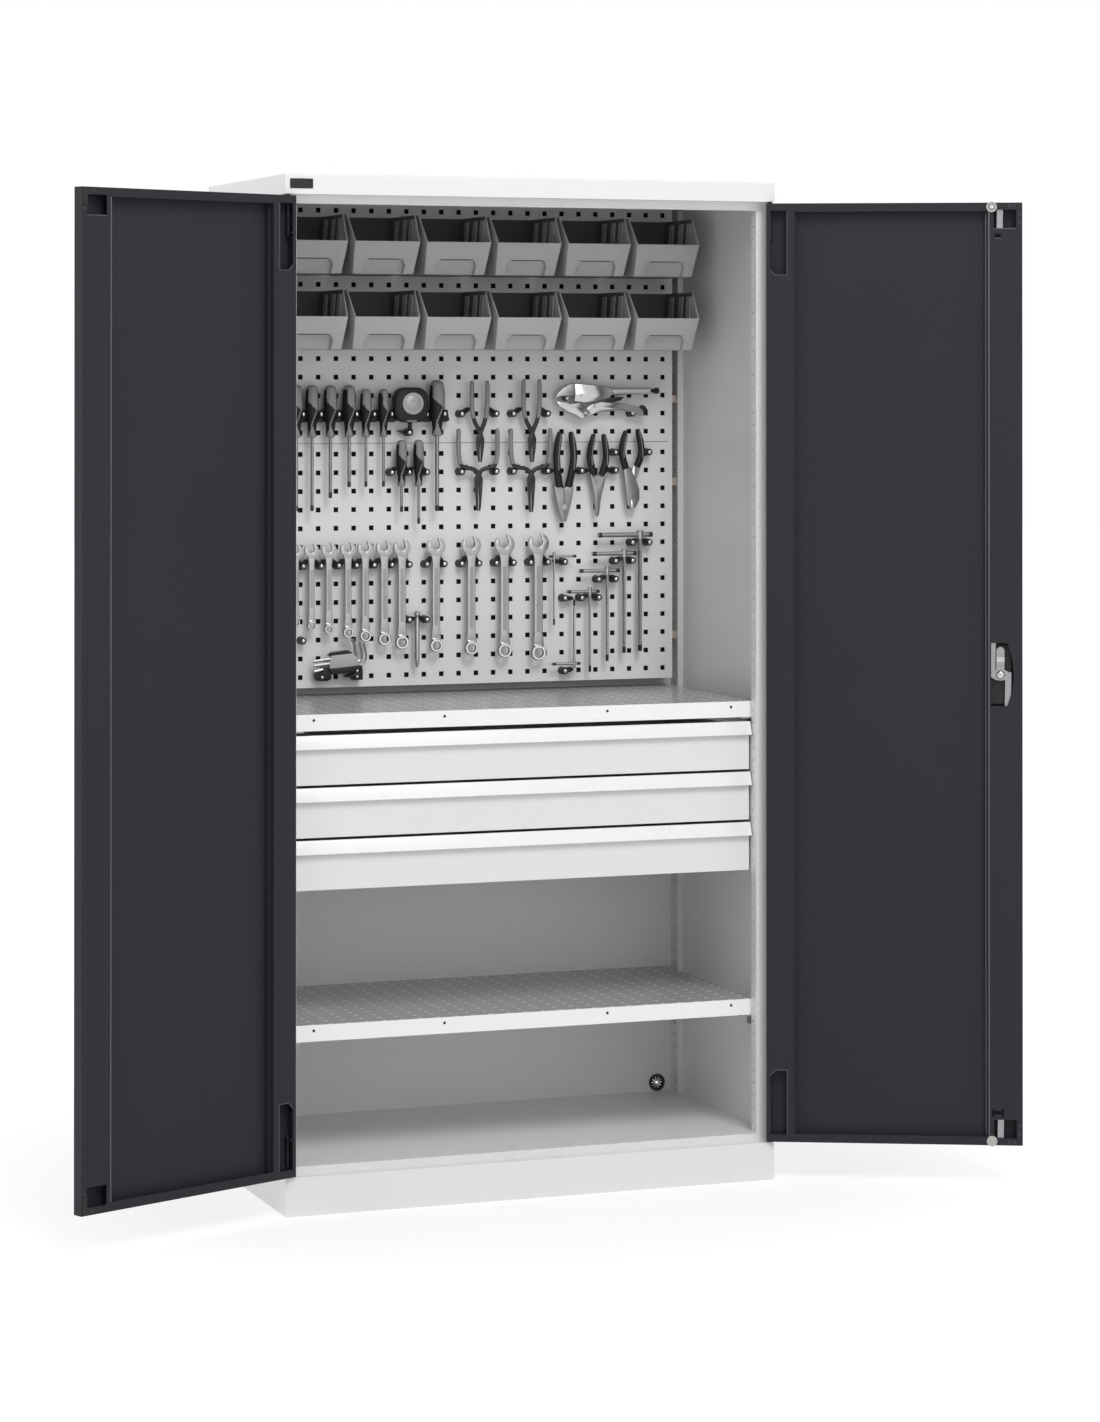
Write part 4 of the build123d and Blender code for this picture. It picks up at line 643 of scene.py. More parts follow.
def screwdriver(number, x, top, grip, tip, diameter, band):
    """Two-colour grip with a waist, round blade and a flat tip."""
    r = diameter / 2
    profile = []
    for (r0, t0), (r1, t1) in zip(GRIP_SHAPE, GRIP_SHAPE[1:]):
        parts = max(1, round((t1 - t0) / 0.02))
        profile += [((r0 + (r1 - r0) * i / parts) * r, -(t0 + (t1 - t0) * i / parts) * grip)
                    for i in range(parts)]
    profile.append((0, -grip))
    piece = lathe(f"screwdriver_{number}_grip", profile, (x, GRIP_PLANE, top), "grip_black", steps=48)
    paint(piece, "grip_black", "grip_grey")

    def grey(centre, normal):
        """Ends all round; in front a band that narrows, crosses the waist and spreads again."""
        down = (top - centre.z) / grip
        turn_cos, turn_sin = GRIP_TURN
        across = ((centre.x - x) * turn_cos - (centre.y - GRIP_PLANE) * turn_sin) / r
        if down < 0.09 or down > 0.955:
            return True
        if normal.x * turn_sin + normal.y * turn_cos > 0:
            return False
        if down < 0.32:
            return band < across < 0.93
        if down < 0.47:
            return band + (0.82 - band) * (down - 0.32) / 0.15 < across < 0.97
        if down < 0.76:
            return abs(across - 0.86 + 0.9 * (down - 0.47) / 0.29) < 0.09
        spread = (down - 0.76) / 0.2
        return -0.1 - 0.55 * spread ** 2 < across < 0.08 + 0.6 * spread

    paint_faces(piece, 1, grey)
    half = diameter * 0.13
    blade_length = top - grip + 2 - tip - 12
    blade = lathe("blade", [(0, 0), (half, 0), (half, blade_length), (0, blade_length)],
                  (x, GRIP_PLANE, tip + 12), "dull_chrome", steps=16)
    outline = [(-1, 13), (1, 13), (1.15, 4), (0.9, 0), (-0.9, 0), (-1.15, 4)]
    flat = prism("flat_tip", [(x + half * share, tip + rise) for share, rise in outline],
                 GRIP_PLANE - 0.7, GRIP_PLANE + 0.7, "dark_steel", 0.2, 1)
    return join(f"screwdriver_{number}", [piece, blade, flat])


class OBJECT_OT_cabinet_screwdrivers(bpy.types.Operator):
    """Add the screwdrivers"""
    bl_idname = "object.cabinet_screwdrivers"
    bl_label = "Screwdrivers"

    def execute(self, context):
        for number, size in enumerate(SCREWDRIVERS, 1):
            carried(screwdriver(number, *size), "cabinet", "grip_plastic", "screwdrivers")
        return {"FINISHED"}


def rounded_square(half, corner, centre, count=7):
    points = []
    for quarter, (sx, sz) in enumerate(((1, 1), (-1, 1), (-1, -1), (1, -1))):
        middle = (centre[0] + sx * (half - corner), centre[1] + sz * (half - corner))
        points += arc_points(corner, quarter * 90, quarter * 90 + 90, count, middle)
    return points


class OBJECT_OT_cabinet_tape_measure(bpy.types.Operator):
    """Add the tape measure with its plain disc, ribs and hanging strip"""
    bl_idname = "object.cabinet_tape_measure"
    bl_label = "Tape measure"

    def execute(self, context):
        x, z = -115, 1552
        front, back = GRIP_PLANE - 13, GRIP_PLANE + 11

        def flat(name, points, y0, y1, material, rounding):
            return prism(name, [(x + dx, z + dz) for dx, dz in points], y0, y1, material, rounding)

        parts = [prism("tape_case", rounded_square(36, 23, (x, z)), front, back, "grip_black", 3.5, 4),
                 lathe("tape_disc", [(0, 0.6), (19.2, 0.6), (19.6, 0), (22.2, 0), (23.0, 1.0), (23.0, 4.5),
                                     (0, 4.5)], (x + 2, front - 3.0, z + 3), "dull_chrome", "Y", 48),
                 lathe("tape_hub", [(0, 0.4), (6.0, 0.3), (6.4, -0.3), (14.0, -0.1), (16.4, 0.9), (16.8, 3.0),
                                    (0, 3.0)], (x + 2, front - 3.6, z + 3), "dull_chrome", "Y", 40),
                 flat("tape_foot", [(-22, -17), (12, -31), (10, -35), (-8, -35), (-25, -24)],
                      front - 1, back - 4, "grip_grey", 1.2),
                 box_piece("tape_strip", (x + 4, BOARD_FRONT - 4, z - 57), (x + 12, BOARD_FRONT, z - 12),
                           "black_moulding", 0.8),
                 box_piece("tape_peg", (x + 4, back, z - 16), (x + 12, BOARD_FRONT, z - 12), "black_moulding", 0.8),
                 flat("tape_hook", [(-22, -54), (12, -50), (12, -62), (-4, -62)],
                      BOARD_FRONT - 12, BOARD_FRONT - 2, "black_moulding", 1.0),
                 prism("tape_ridge", rounded_square(32, 20, (x, z)), front - 1.2, front + 1, "black_moulding", 1.0)]
        parts += [lathe("tape_screw", [(0, -0.8), (1.6, -0.6), (2.2, 0), (2.2, 1.5), (0, 1.5)],
                        (x + dx, front, z + dz), "satin_chrome", "Y", 14)
                  for dx, dz in ((24, 22), (20, -24), (-24, -20))]
        carried(join("tape_measure_body", parts), "cabinet", "grip_plastic", "tape_measure")
        return {"FINISHED"}


# ---- pliers --------------------------------------------------------------------------------------

# Left and right grip, top, bend of the arms, joint, tip
CIRCLIP_PLIERS = ((22, 55, 1602, 1528, 1489, 1433), (136, 170, 1605, 1528, 1489, 1432),
                  (-7, 77, 1503, 1433, 1406, 1332), (108, 194, 1503, 1433, 1406, 1328))


def circlip_pliers(name, left, right, top, bend, joint, tip):
    """Slim grey grips on dark handles, a riveted joint and two fine points."""
    middle = (left + right) / 2 + 1

    def dark(part, points, half, rounding):
        return plate(part, [(middle + dx, z) for dx, z in points], half, "dark_steel", rounding)

    parts = []
    for side, x in ((-1, left), (1, right)):
        parts += [bent_bar("grip", [(x, top, 0.5), (x, top - 2, 0.95), (x + side, (top + bend) / 2 + 16, 1),
                                    (x + side * 0.5, bend + 12, 1), (x - side * 3, bend - 4, 1)],
                           10.2, "grip_grey", flatten=0.8),
                  bent_bar("arm", [(x - side * 2.6, bend, 0.9), (x - side * 5, bend - 12, 0.9),
                                   (middle + side * 4, joint + 14, 0.95), (middle - side * 2.5, joint - 6, 0.9)],
                           10.0, "dark_steel", flatten=0.65),
                  dark("jaw", [(side * 0.8, joint - 16), (side * 8.5, joint - 12), (side * 8, joint - 26),
                               (side * 5.2, tip + 14), (side * 3.4, tip), (side * 1.2, tip),
                               (side * 1.6, tip + 20)], 3.2, 0.8)]
    parts += [dark("cheek", [(-8, joint - 18), (8, joint - 18), (8.5, joint - 8), (4, joint + 4), (-4, joint + 4),
                             (-8.5, joint - 8)], 4.2, 1.2),
              stud("rivet", (middle, TOOL_PLANE - 5, joint - 9), 3, 3.4, 0.6, 10, "dark_steel")]
    return join(name, parts)


class OBJECT_OT_cabinet_circlip_pliers(bpy.types.Operator):
    """Add the four circlip pliers"""
    bl_idname = "object.cabinet_circlip_pliers"
    bl_label = "Circlip pliers"

    def execute(self, context):
        for number, place in enumerate(CIRCLIP_PLIERS, 1):
            piece = circlip_pliers(f"circlip_pliers_{number}", *place)
            carried(piece, "cabinet", "grip_plastic", "circlip_pliers")
        return {"FINISHED"}


def padded_grips(width, *lines):
    """Thick soft grips along lines of five points, each with a grey line down its front."""
    stripe = 2
    parts = []
    for line in lines:
        points = [(x, z, share) for (x, z), share in zip(line, (0.5, 0.9, 1, 0.95, 1.05))]
        parts += [bent_bar("padded_grip", points, width, "grip_black", flatten=0.75, resolution=5),
                  bent_bar("grip_line", [(x + stripe, z, share) for x, z, share in points[1:-1]], width * 0.16,
                           "grip_grey", TOOL_PLANE - width * 0.34, 0.8)]
    return parts


class OBJECT_OT_cabinet_gripping_pliers(bpy.types.Operator):
    """Add the three pliers with padded grips"""
    bl_idname = "object.cabinet_gripping_pliers"
    bl_label = "Gripping pliers"

    def execute(self, context):
        front, back = TOOL_PLANE - 4.5, TOOL_PLANE + 4.5
        wide = padded_grips(16, ((216, 1495), (215, 1490), (208, 1450), (210, 1415), (215, 1380)),
                            ((240, 1495), (241, 1490), (248, 1450), (244, 1415), (235, 1380)))
        wide += [plate("wide_jaws", [(201, 1384), (209, 1379), (218, 1381), (224, 1376), (231, 1381), (239, 1379),
                                     (247, 1384), (241, 1352), (233, 1322), (229, 1308), (219, 1308), (213, 1330),
                                     (207, 1352)], 4.5, "dull_chrome", 1.6, 3),
                 stud("pivot", (224, front - 1, 1338), 6, 6.5, 0.8, 11, "satin_chrome", 28),
                 box_piece("jaw_line", (223.4, front - 0.3, 1309), (224.6, front + 1, 1376), "dark_steel", 0.2, 1)]
        slim = padded_grips(15, ((291, 1490), (291, 1485), (282, 1450), (285, 1425), (293, 1403)),
                            ((314, 1490), (314, 1485), (321, 1450), (318, 1425), (309, 1403)))
        slim += [plate("slim_jaws", [(282, 1409), (291, 1400), (301, 1403), (311, 1400), (320, 1409), (313, 1380),
                                     (308, 1362), (302, 1320), (299, 1316), (296, 1320), (292, 1362),
                                     (288, 1380)], 4.0, "dull_chrome", 1.4, 3),
                 stud("pivot", (301, front - 0.4, 1388), 4.5, 5, 0.6, 10, "satin_chrome", 24),
                 box_piece("jaw_line", (299.6, front + 0.2, 1322), (300.6, front + 1.5, 1378), "dark_steel", 0.2, 1)]
        pump = padded_grips(15, ((364, 1497), (363, 1492), (355, 1462), (356, 1440), (364, 1417)),
                            ((390, 1500), (391, 1495), (400, 1462), (398, 1440), (389, 1422)))
        pump += [plate("pump_head", [(357, 1418), (372, 1420), (384, 1400), (394, 1372), (394, 1352), (386, 1336),
                                     (374, 1333), (366, 1342), (365, 1360)], 3.5, "dull_chrome", 1.6, 3),
                 prism("pump_arm", [(380, 1424), (396, 1420), (388, 1396), (380, 1378), (374, 1390)], front + 2.5,
                       back - 0.5, "bright_chrome", 1.2),
                 prism("pump_jaw", [(374, 1352), (384, 1350), (382, 1334), (379, 1328), (374, 1336)], front + 0.5,
                       back - 1, "bright_chrome", 1.0)]
        for name, parts in (("wide_pliers", wide), ("slim_pliers", slim), ("pump_pliers", pump)):
            carried(join(name, parts), "cabinet", "grip_plastic", "gripping_pliers")
        return {"FINISHED"}


class OBJECT_OT_cabinet_locking_pliers(bpy.types.Operator):
    """Add the nickel-plated locking pliers, which hang level"""
    bl_idname = "object.cabinet_locking_pliers"
    bl_label = "Locking pliers"

    def execute(self, context):
        front = TOOL_PLANE - 5
        parts = [
            plate("upper_jaw", [(203, 1565), (209, 1576), (222, 1588), (238, 1596), (248, 1597), (250, 1576),
                                (242, 1569), (228, 1571), (212, 1567)], 5, "satin_chrome", 1.6, 3),
            plate("fixed_body", [(246, 1597), (290, 1594), (330, 1588), (336, 1577), (326, 1566), (300, 1560),
                                 (272, 1555), (246, 1559), (248, 1574)], 6, "bright_chrome", 2.0, 3),
            bent_bar("fixed_grip", [(324, 1579, 1.15), (352, 1580, 1.05), (385, 1580.3, 1), (421, 1580.5, 0.95)],
                     15.5, "polished_steel_and_highlight", flatten=0.7),
            plate("lower_jaw", [(206, 1559), (224, 1558), (236, 1554), (258, 1556), (272, 1548), (284, 1534),
                                (264, 1521), (252, 1529), (232, 1537), (214, 1548)], 5, "bright_chrome", 1.6, 3),
            plate("lever", [(262, 1533), (284, 1551), (306, 1558), (352, 1555), (392, 1547), (406, 1537),
                            (402, 1527), (384, 1533), (352, 1540), (306, 1537), (276, 1527)],
                  4, "bright_chrome", 1.4, 3),
            plate("link", [(300, 1558), (330, 1566), (360, 1568), (352, 1560), (322, 1554), (302, 1549)],
                  2, "dark_steel", 0.8),
            lathe("knob", [(0, 0), (4, 0), (5.5, 1.5), (5.5, 5), (4, 7), (4, 11), (6.5, 13), (6.5, 19), (5, 21),
                           (0, 21)], (417, TOOL_PLANE, 1580.5), "black_moulding", "X", 24),
            plate("release", [(394, 1546), (400, 1551), (406, 1548), (412, 1540), (410, 1530), (403, 1528),
                              (402, 1538)], 5.5, "black_moulding", 1.2)]
        parts += [stud("rivet", (x, front - 1.6, z), 2.6, 3.4, 0.8, 12, "bright_chrome")
                  for x, z in ((230, 1565), (262, 1572), (292, 1549), (316, 1549), (272, 1534))]
        # A black oval on the upper jaw where its hole is: painted shade.
        parts.append(lathe("jaw_hole_painted_shade", [(0, 0), (5, 0), (5, 1), (0, 1)], (226, front - 0.2, 1564), "black_moulding",
                           "Y", 24, (1.6, 1, 0.8)))
        carried(join("locking_pliers_body", parts), "cabinet", "bright_steel", "locking_pliers")
        return {"FINISHED"}


# ---- wrenches and keys ---------------------------------------------------------------------------

SMALL_WRENCHES = (-358, -325, -288, -247, -210, -169, -131)
LARGE_WRENCHES = (-57, 20, 93, 168)
WRENCH_REST = 1240.0              # height of the holders under the open jaws


def wrench(name, x, reach, shaft, head, ring):
    """Leaning open jaw, flat shaft with a sunk panel, and a thick ring that looks bright through a lighter band on
    its front face, a painted highlight.
    """
    half_ring = 4.6
    r = head / 2 + 1
    throat = r * 0.43
    jaw_z, ring_z, turn = WRENCH_REST + r, WRENCH_REST - reach, radians(16)
    low, high = ring_z + ring * 0.42, jaw_z - r * 0.62
    outer, inner = ring / 2, ring * 0.33

    jaw = (arc_points(r, 90 + 29, 450 - 29, 27) + [(throat, r * 0.84)] +
           arc_points(throat, -8, -172, 9, (0, r * 0.12)) + [(-throat, r * 0.84)])
    jaw = [(x + px * cos(turn) - pz * sin(turn), jaw_z + px * sin(turn) + pz * cos(turn)) for px, pz in jaw]
    right = [(0.66, low), (0.5, low + 26), (0.5, WRENCH_REST - 14), (0.58, WRENCH_REST - 3), (0.85, high)]
    neck = [(x - shaft * share, z) for share, z in reversed(right)] + [(x + shaft * share, z) for share, z in right]
    panel = [(x + shaft * share, z) for share, z in ((-0.22, WRENCH_REST - 24), (0.22, WRENCH_REST - 24),
                                                     (0.22, low + 30), (-0.22, low + 30))]
    place = (x, TOOL_PLANE, ring_z)
    return join(name, [
        plate("jaw", jaw, 3.8, "satin_chrome", 0.9),
        plate("shaft", neck, 2.8, "satin_chrome", 2.0, 3),
        prism("panel", panel, TOOL_PLANE - 2.95, TOOL_PLANE - 2.2, "dull_chrome", 0.15, 1),
        box_piece("shoulder", (x - shaft * 0.52, TOOL_PLANE - 4.4, low - 0.5),
                  (x + shaft * 0.52, TOOL_PLANE + 4.0, low + 4.0), "bright_chrome", 1.3),
        lathe("ring", [(inner, 0.8 - half_ring), (inner + 0.7, -half_ring), (outer - 1.0, -half_ring),
                       (outer, 1.2 - half_ring), (outer, half_ring - 1.2), (outer - 1.0, half_ring),
                       (inner + 0.7, half_ring), (inner, half_ring - 0.8)], place, "dull_chrome", "Y", 40),
        # A lighter band on the ring's front face: painted highlight.
        lathe("rim", [(inner + 0.4, -half_ring - 0.25), (outer - 1.4, -half_ring - 0.25),
                      (outer - 1.2, 0.4 - half_ring), (inner + 0.4, 0.4 - half_ring)], place,
              "polished_steel_and_highlight", "Y", 40)])


class OBJECT_OT_cabinet_wrenches(bpy.types.Operator):
    """Add the combination wrenches and the short round bar"""
    bl_idname = "object.cabinet_wrenches"
    bl_label = "Combination wrenches"

    def execute(self, context):
        sizes = [(x, 130.5 + 7.6 * i, 12 + 0.8 * i, 27 + 1.2 * i, 16.5 + 1.95 * i)
                 for i, x in enumerate(SMALL_WRENCHES)]
        sizes += [(x, 184.5 + 6.8 * i, 17 + 0.6 * i, 37 + 2.0 * i, 27 + 1.6 * i)
                  for i, x in enumerate(LARGE_WRENCHES)]
        for number, size in enumerate(sizes, 1):
            carried(wrench(f"wrench_{number}", *size), "cabinet", "bright_steel", "combination_wrenches")
        profile = [(0, 1012), (2.5, 1012), (3.4, 1016), (4.8, 1022), (5, 1030), (5, 1108), (3.6, 1112),
                   (3.6, 1115), (5.4, 1117), (6.2, 1121), (5.2, 1125), (2.8, 1127), (0, 1127.2)]
        bar = lathe("short_bar", profile, (-98, TOOL_PLANE, 0), "satin_chrome", steps=28)
        carried(bar, "cabinet", "bright_steel", "combination_wrenches")
        return {"FINISHED"}


# Height of the sliding bar, its ends, X of the shaft, tip, diameter
T_KEYS = ((1278, 301, 423, 396, 1033, 9), (1239, 288, 387, 360, 1030, 7.5), (1203.5, 259, 349, 322, 1014, 6.5),
          (1160.5, 232, 304, 283, 992, 5.5), (1235, 192, 252, 203, 1092, 4), (1010.5, 198, 261, 248, 1145, 4.5))
DARK_TIP = 14


def t_handle_key(number, bar_z, left, right, x, tip, diameter):
    """Hexagonal shaft with a dark tip, a collar, and a sliding bar with dark ends."""
    r, bar_r, collar_r = diameter / 2 + 0.3, diameter * 0.5 + 0.6, diameter * 0.8
    low, high = min(bar_z, tip), max(bar_z, tip)
    if tip > bar_z:
        ends = (low, high - DARK_TIP), (high - DARK_TIP, high)
    else:
        ends = (low + DARK_TIP, high), (low, low + DARK_TIP)
    (shaft_low, shaft_high), (tip_low, tip_high) = ends
    z0, z1 = bar_z - 9, bar_z + 9

    def upright(name, profile, material, steps):
        return lathe(name, profile, (x, TOOL_PLANE, 0), material, steps=steps)

    parts = [upright("shaft", [(0, shaft_low), (r, shaft_low), (r, shaft_high), (0, shaft_high)],
                     "satin_chrome", 6),
             upright("tip", [(0, tip_low), (r * 0.8, tip_low), (r, tip_low + 1), (r, tip_high - 1), (0, tip_high)],
                     "dark_steel", 6),
             upright("collar", [(0, z0), (collar_r - 0.6, z0), (collar_r, z0 + 0.8), (collar_r, z1 - 0.8),
                                (collar_r - 0.6, z1), (0, z1)], "satin_chrome", 24),
             lathe("sliding_bar", [(0, 0), (bar_r, 0), (bar_r, right - left), (0, right - left)],
                   (left, TOOL_PLANE, bar_z), "satin_chrome", "X", 20)]
    parts += [lathe("bar_end", [(0, 0), (bar_r, 0.8), (bar_r + 0.15, 2), (bar_r + 0.15, 9), (0, 9)],
                    (start, TOOL_PLANE, bar_z), "dark_steel", "X", 20) for start in (left - 0.2, right - 8.8)]
    return join(f"t_key_{number}", parts)


# Points of each bent key of the folded set, and its diameter
HEX_KEYS = ((((-281, 1034), (-322, 1029)), 6.5), (((-284, 1024), (-320, 1020)), 7.0),
            (((-300, 1012), (-319, 1008)), 7.5),
            (((-236, 1073), (-233, 1060), (-232, 1046), (-228, 1038), (-236, 1034)), 6.0),
            (((-222, 1065), (-218, 1050), (-216, 1036), (-220, 1028), (-232, 1024)), 5.2),
            (((-213, 1064), (-209, 1050), (-206.5, 1034), (-211, 1024), (-222, 1016)), 4.2))


class OBJECT_OT_cabinet_keys(bpy.types.Operator):
    """Add the T-handle keys and the folded set of hex keys"""
    bl_idname = "object.cabinet_keys"
    bl_label = "Keys"

    def execute(self, context):
        for number, key in enumerate(T_KEYS, 1):
            carried(t_handle_key(number, *key), "cabinet", "bright_steel", "t_handle_keys")
        self.add_folded_set()
        return {"FINISHED"}

    def add_folded_set(self):
        """Black upper and lower bars, a grey panel, two feet, and six keys, three of them folded in."""
        front, back = TOOL_PLANE - 7, TOOL_PLANE + 7
        upper = [(-291, 1040), (-284, 1047), (-248, 1050.5), (-238, 1044.5), (-280, 1041)]
        panel = [(-284, 1041), (-238, 1044.5), (-227, 1032), (-226, 1019), (-287, 1013), (-288, 1028)]
        lower = [(-288, 1014), (-219, 1019), (-217, 1008), (-236, 1005), (-285, 1002)]
        left = [(-315, 1001), (-302, 1007), (-301, 1017), (-292, 1016), (-284, 1003), (-284, 993),
                (-292, 988.5), (-310, 989)]
        right = [(-254, 996), (-235, 1002), (-231, 1015), (-219, 1018), (-216.5, 1008), (-216.5, 989),
                 (-235, 989.5), (-236, 995)]
        parts = [prism("upper_bar", upper, front, back, "black_moulding", 1.2),
                 prism("middle_panel", panel, front + 1, back - 1, "bin_moulding", 0.8),
                 prism("lower_bar", lower, front - 0.5, back, "black_moulding", 1.2),
                 prism("left_foot", left, front + 1, BOARD_FRONT, "black_moulding", 1.5),
                 prism("right_foot", right, front + 1, BOARD_FRONT, "black_moulding", 1.5)]
        for number, (points, diameter) in enumerate(HEX_KEYS):
            folded = len(points) == 2
            if folded:
                (x0, z0), (x1, z1) = points
                points = [(x0 + (x1 - x0) * i / 3, z0 + (z1 - z0) * i / 3) for i in range(4)]
            parts.append(bent_bar("hex_key", [(x, z, 1) for x, z in points], diameter,
                                  "dull_chrome" if folded else "satin_chrome", TOOL_PLANE - 3 + 1.2 * number,
                                  1.0, 1))
        parts += [lathe("foot_screw", [(0, -2.2), (1.8, -2.0), (3.2, -1.0), (3.6, 0), (3.6, 2), (0, 2)],
                        (x, front + 1, z), "bright_chrome", "Y", 16)
                  for x, z in ((-303.5, 996.5), (-229, 996), (-229, 1008))]
        carried(join("hex_keys_body", parts), "cabinet", "black_plastic", "hex_key_set")


# ---- tool holders --------------------------------------------------------------------------------


def holder_places():
    """Hole and contact points of every holder: (hole X, hole Z, [(contact X, contact Z), ...])."""
    up, mid, low = UPPER_ROW, MIDDLE_ROW, LOWER_ROW
    places = []
    for hole, left, right in ((-342, -346, -337), (-304, -312, -299), (-266, -273, -259), (-228, -233, -222),
                              (-190, -198, -183), (-152, -160, None), (-76, None, -71), (-38, -41, None)):
        places.append((hole, up, [(x, up - 9) for x in (left, right) if x is not None]))
    for hole, left, right in ((-152, None, -144), (-114, -121, -107), (-76, -85, None)):
        places.append((hole, mid, [(x, mid + 9) for x in (left, right) if x is not None]))
    for left, right in ((0, 76), (114, 190)):
        places += [(left, up, [(left + 17, up + 11)]), (right, up, [(right - 16, up + 11)])]
    places += [(0, mid, [(12, mid + 12)]), (76, mid, [(64, mid + 12)]), (114, mid, [(126, mid + 12)]),
               (190, mid, [(180, mid + 12), (203, mid)]), (266, mid, [(253, mid), (281, mid)]),
               (342, mid, [(321, mid + 2)]), (342, 1451.3, [(349, 1446)]), (418, 1451.3, [(407, 1446)]),
               (-114, 1495.3, []), (380, up, [(388, 1541)]), (-342, 1071.3, []), (-304, 995.3, []),
               (-228, 995.3, [])]
    for i, x in enumerate(SMALL_WRENCHES):
        half = 6 + 0.4 * i
        places.append((-342 + HOLE_PITCH * i, low, [(x + half, low + 12)]))
        if i:
            places[-2][2].append((x - half, low + 12))
    for i, x in enumerate(LARGE_WRENCHES):
        half = 8.5 + 0.3 * i
        places += [(76 * i - 76, low, [(x - half, low + 14)]), (76 * i - 38, low, [(x + half, low + 14)])]
    places += [(-114, 1109.3, [(-103, 1113)]), (-76, 1109.3, [(-93, 1114)])]
    for x, r, left, z in ((396, 4.5, 380, 1261.3), (360, 3.75, 342, 1223.3), (322, 3.25, 304, 1185.3),
                          (283, 2.75, 266, 1147.3)):
        places += [(left, z, [(x - r, z + 6)]), (left + HOLE_PITCH, z, [(x + r, z + 6)])]
    return places + [(228, low, [(205, low + 2)]), (228, 1147.3, [(246, 1146)]), (228, 995.3, [(246, 999)])]


class OBJECT_OT_cabinet_holders(bpy.types.Operator):
    """Add the screwed holders of the hung tools"""
    bl_idname = "object.cabinet_holders"
    bl_label = "Tool holders"

    def execute(self, context):
        r = context.scene.cabinet_sizes.screw_head / MM / 2
        dome = [(0, -3.2), (r * 0.3, -3.1), (r * 0.62, -2.6), (r * 0.86, -1.7), (r, -0.6), (r, 0.4), (0, 0.4)]
        screw = lathe("screw_blank", dome, (0, BOARD_FRONT - 23, 0), "bright_chrome", "Y", 20)
        boss = lathe("boss_blank", [(0, -23), (5.4, -23), (7.0, -21.5), (7.3, -14), (7.6, -4), (8.4, 0), (0, 0)],
                     (0, BOARD_FRONT, 0), "black_moulding", "Y", 20)
        hook = [(-9, 8), (8, 9), (10, -4), (12, -14), (3, -17), (-8, -16), (-11, -4)]
        for number, (x, z, contacts) in enumerate(holder_places(), 1):
            parts = [duplicate(boss, "boss", (x, 0, z)), duplicate(screw, "screw", (x, 0, z))]
            for end_x, end_z in contacts:
                rise = end_z - z
                points = [(x, z, 1.0), ((x + end_x) / 2, z + rise * 0.45, 1.05), (end_x, end_z, 0.95),
                          (end_x, end_z + (2 if rise > 0 else -2), 0.6)]
                parts.append(bent_bar("arm", points, 10.5, "black_moulding", BOARD_FRONT - 13, 1.9))
            if z == UPPER_ROW and x < -20:
                parts.append(prism("hook", [(x + dx, z + dz) for dx, dz in hook], BOARD_FRONT - 19, BOARD_FRONT,
                                   "black_moulding", 1.5))
            carried(join(f"holder_{number}", parts), "cabinet", "black_plastic", "tool_clips")
        for blank in (screw, boss):
            bpy.data.objects.remove(blank)
        return {"FINISHED"}


# ---- doors ---------------------------------------------------------------------------------------

DOORS = {1: ("right", 155.0), -1: ("left", 156.5)}    # by side: name, and angle at rest in degrees
DOOR_INNER = -254.5               # inner face of the closed doors
DOOR_EDGE = 511.5                 # hinge edge of a closed door
PIVOT = (504.0, -270.5)           # hinge line of the right door
STILE_LOW, STILE_HIGH = 95, 1940


def swing(piece, side):
    """Turn a piece that was made on the closed door to where the open door is."""
    angle = radians(DOORS[side][1]) * side
    pivot = Vector((side * PIVOT[0], PIVOT[1], 0)) * MM
    piece.rotation_euler = (0, 0, angle)
    piece.location = pivot - Vector((pivot.x * cos(angle) - pivot.y * sin(angle),
                                     pivot.x * sin(angle) + pivot.y * cos(angle), 0))
    return settle(piece)


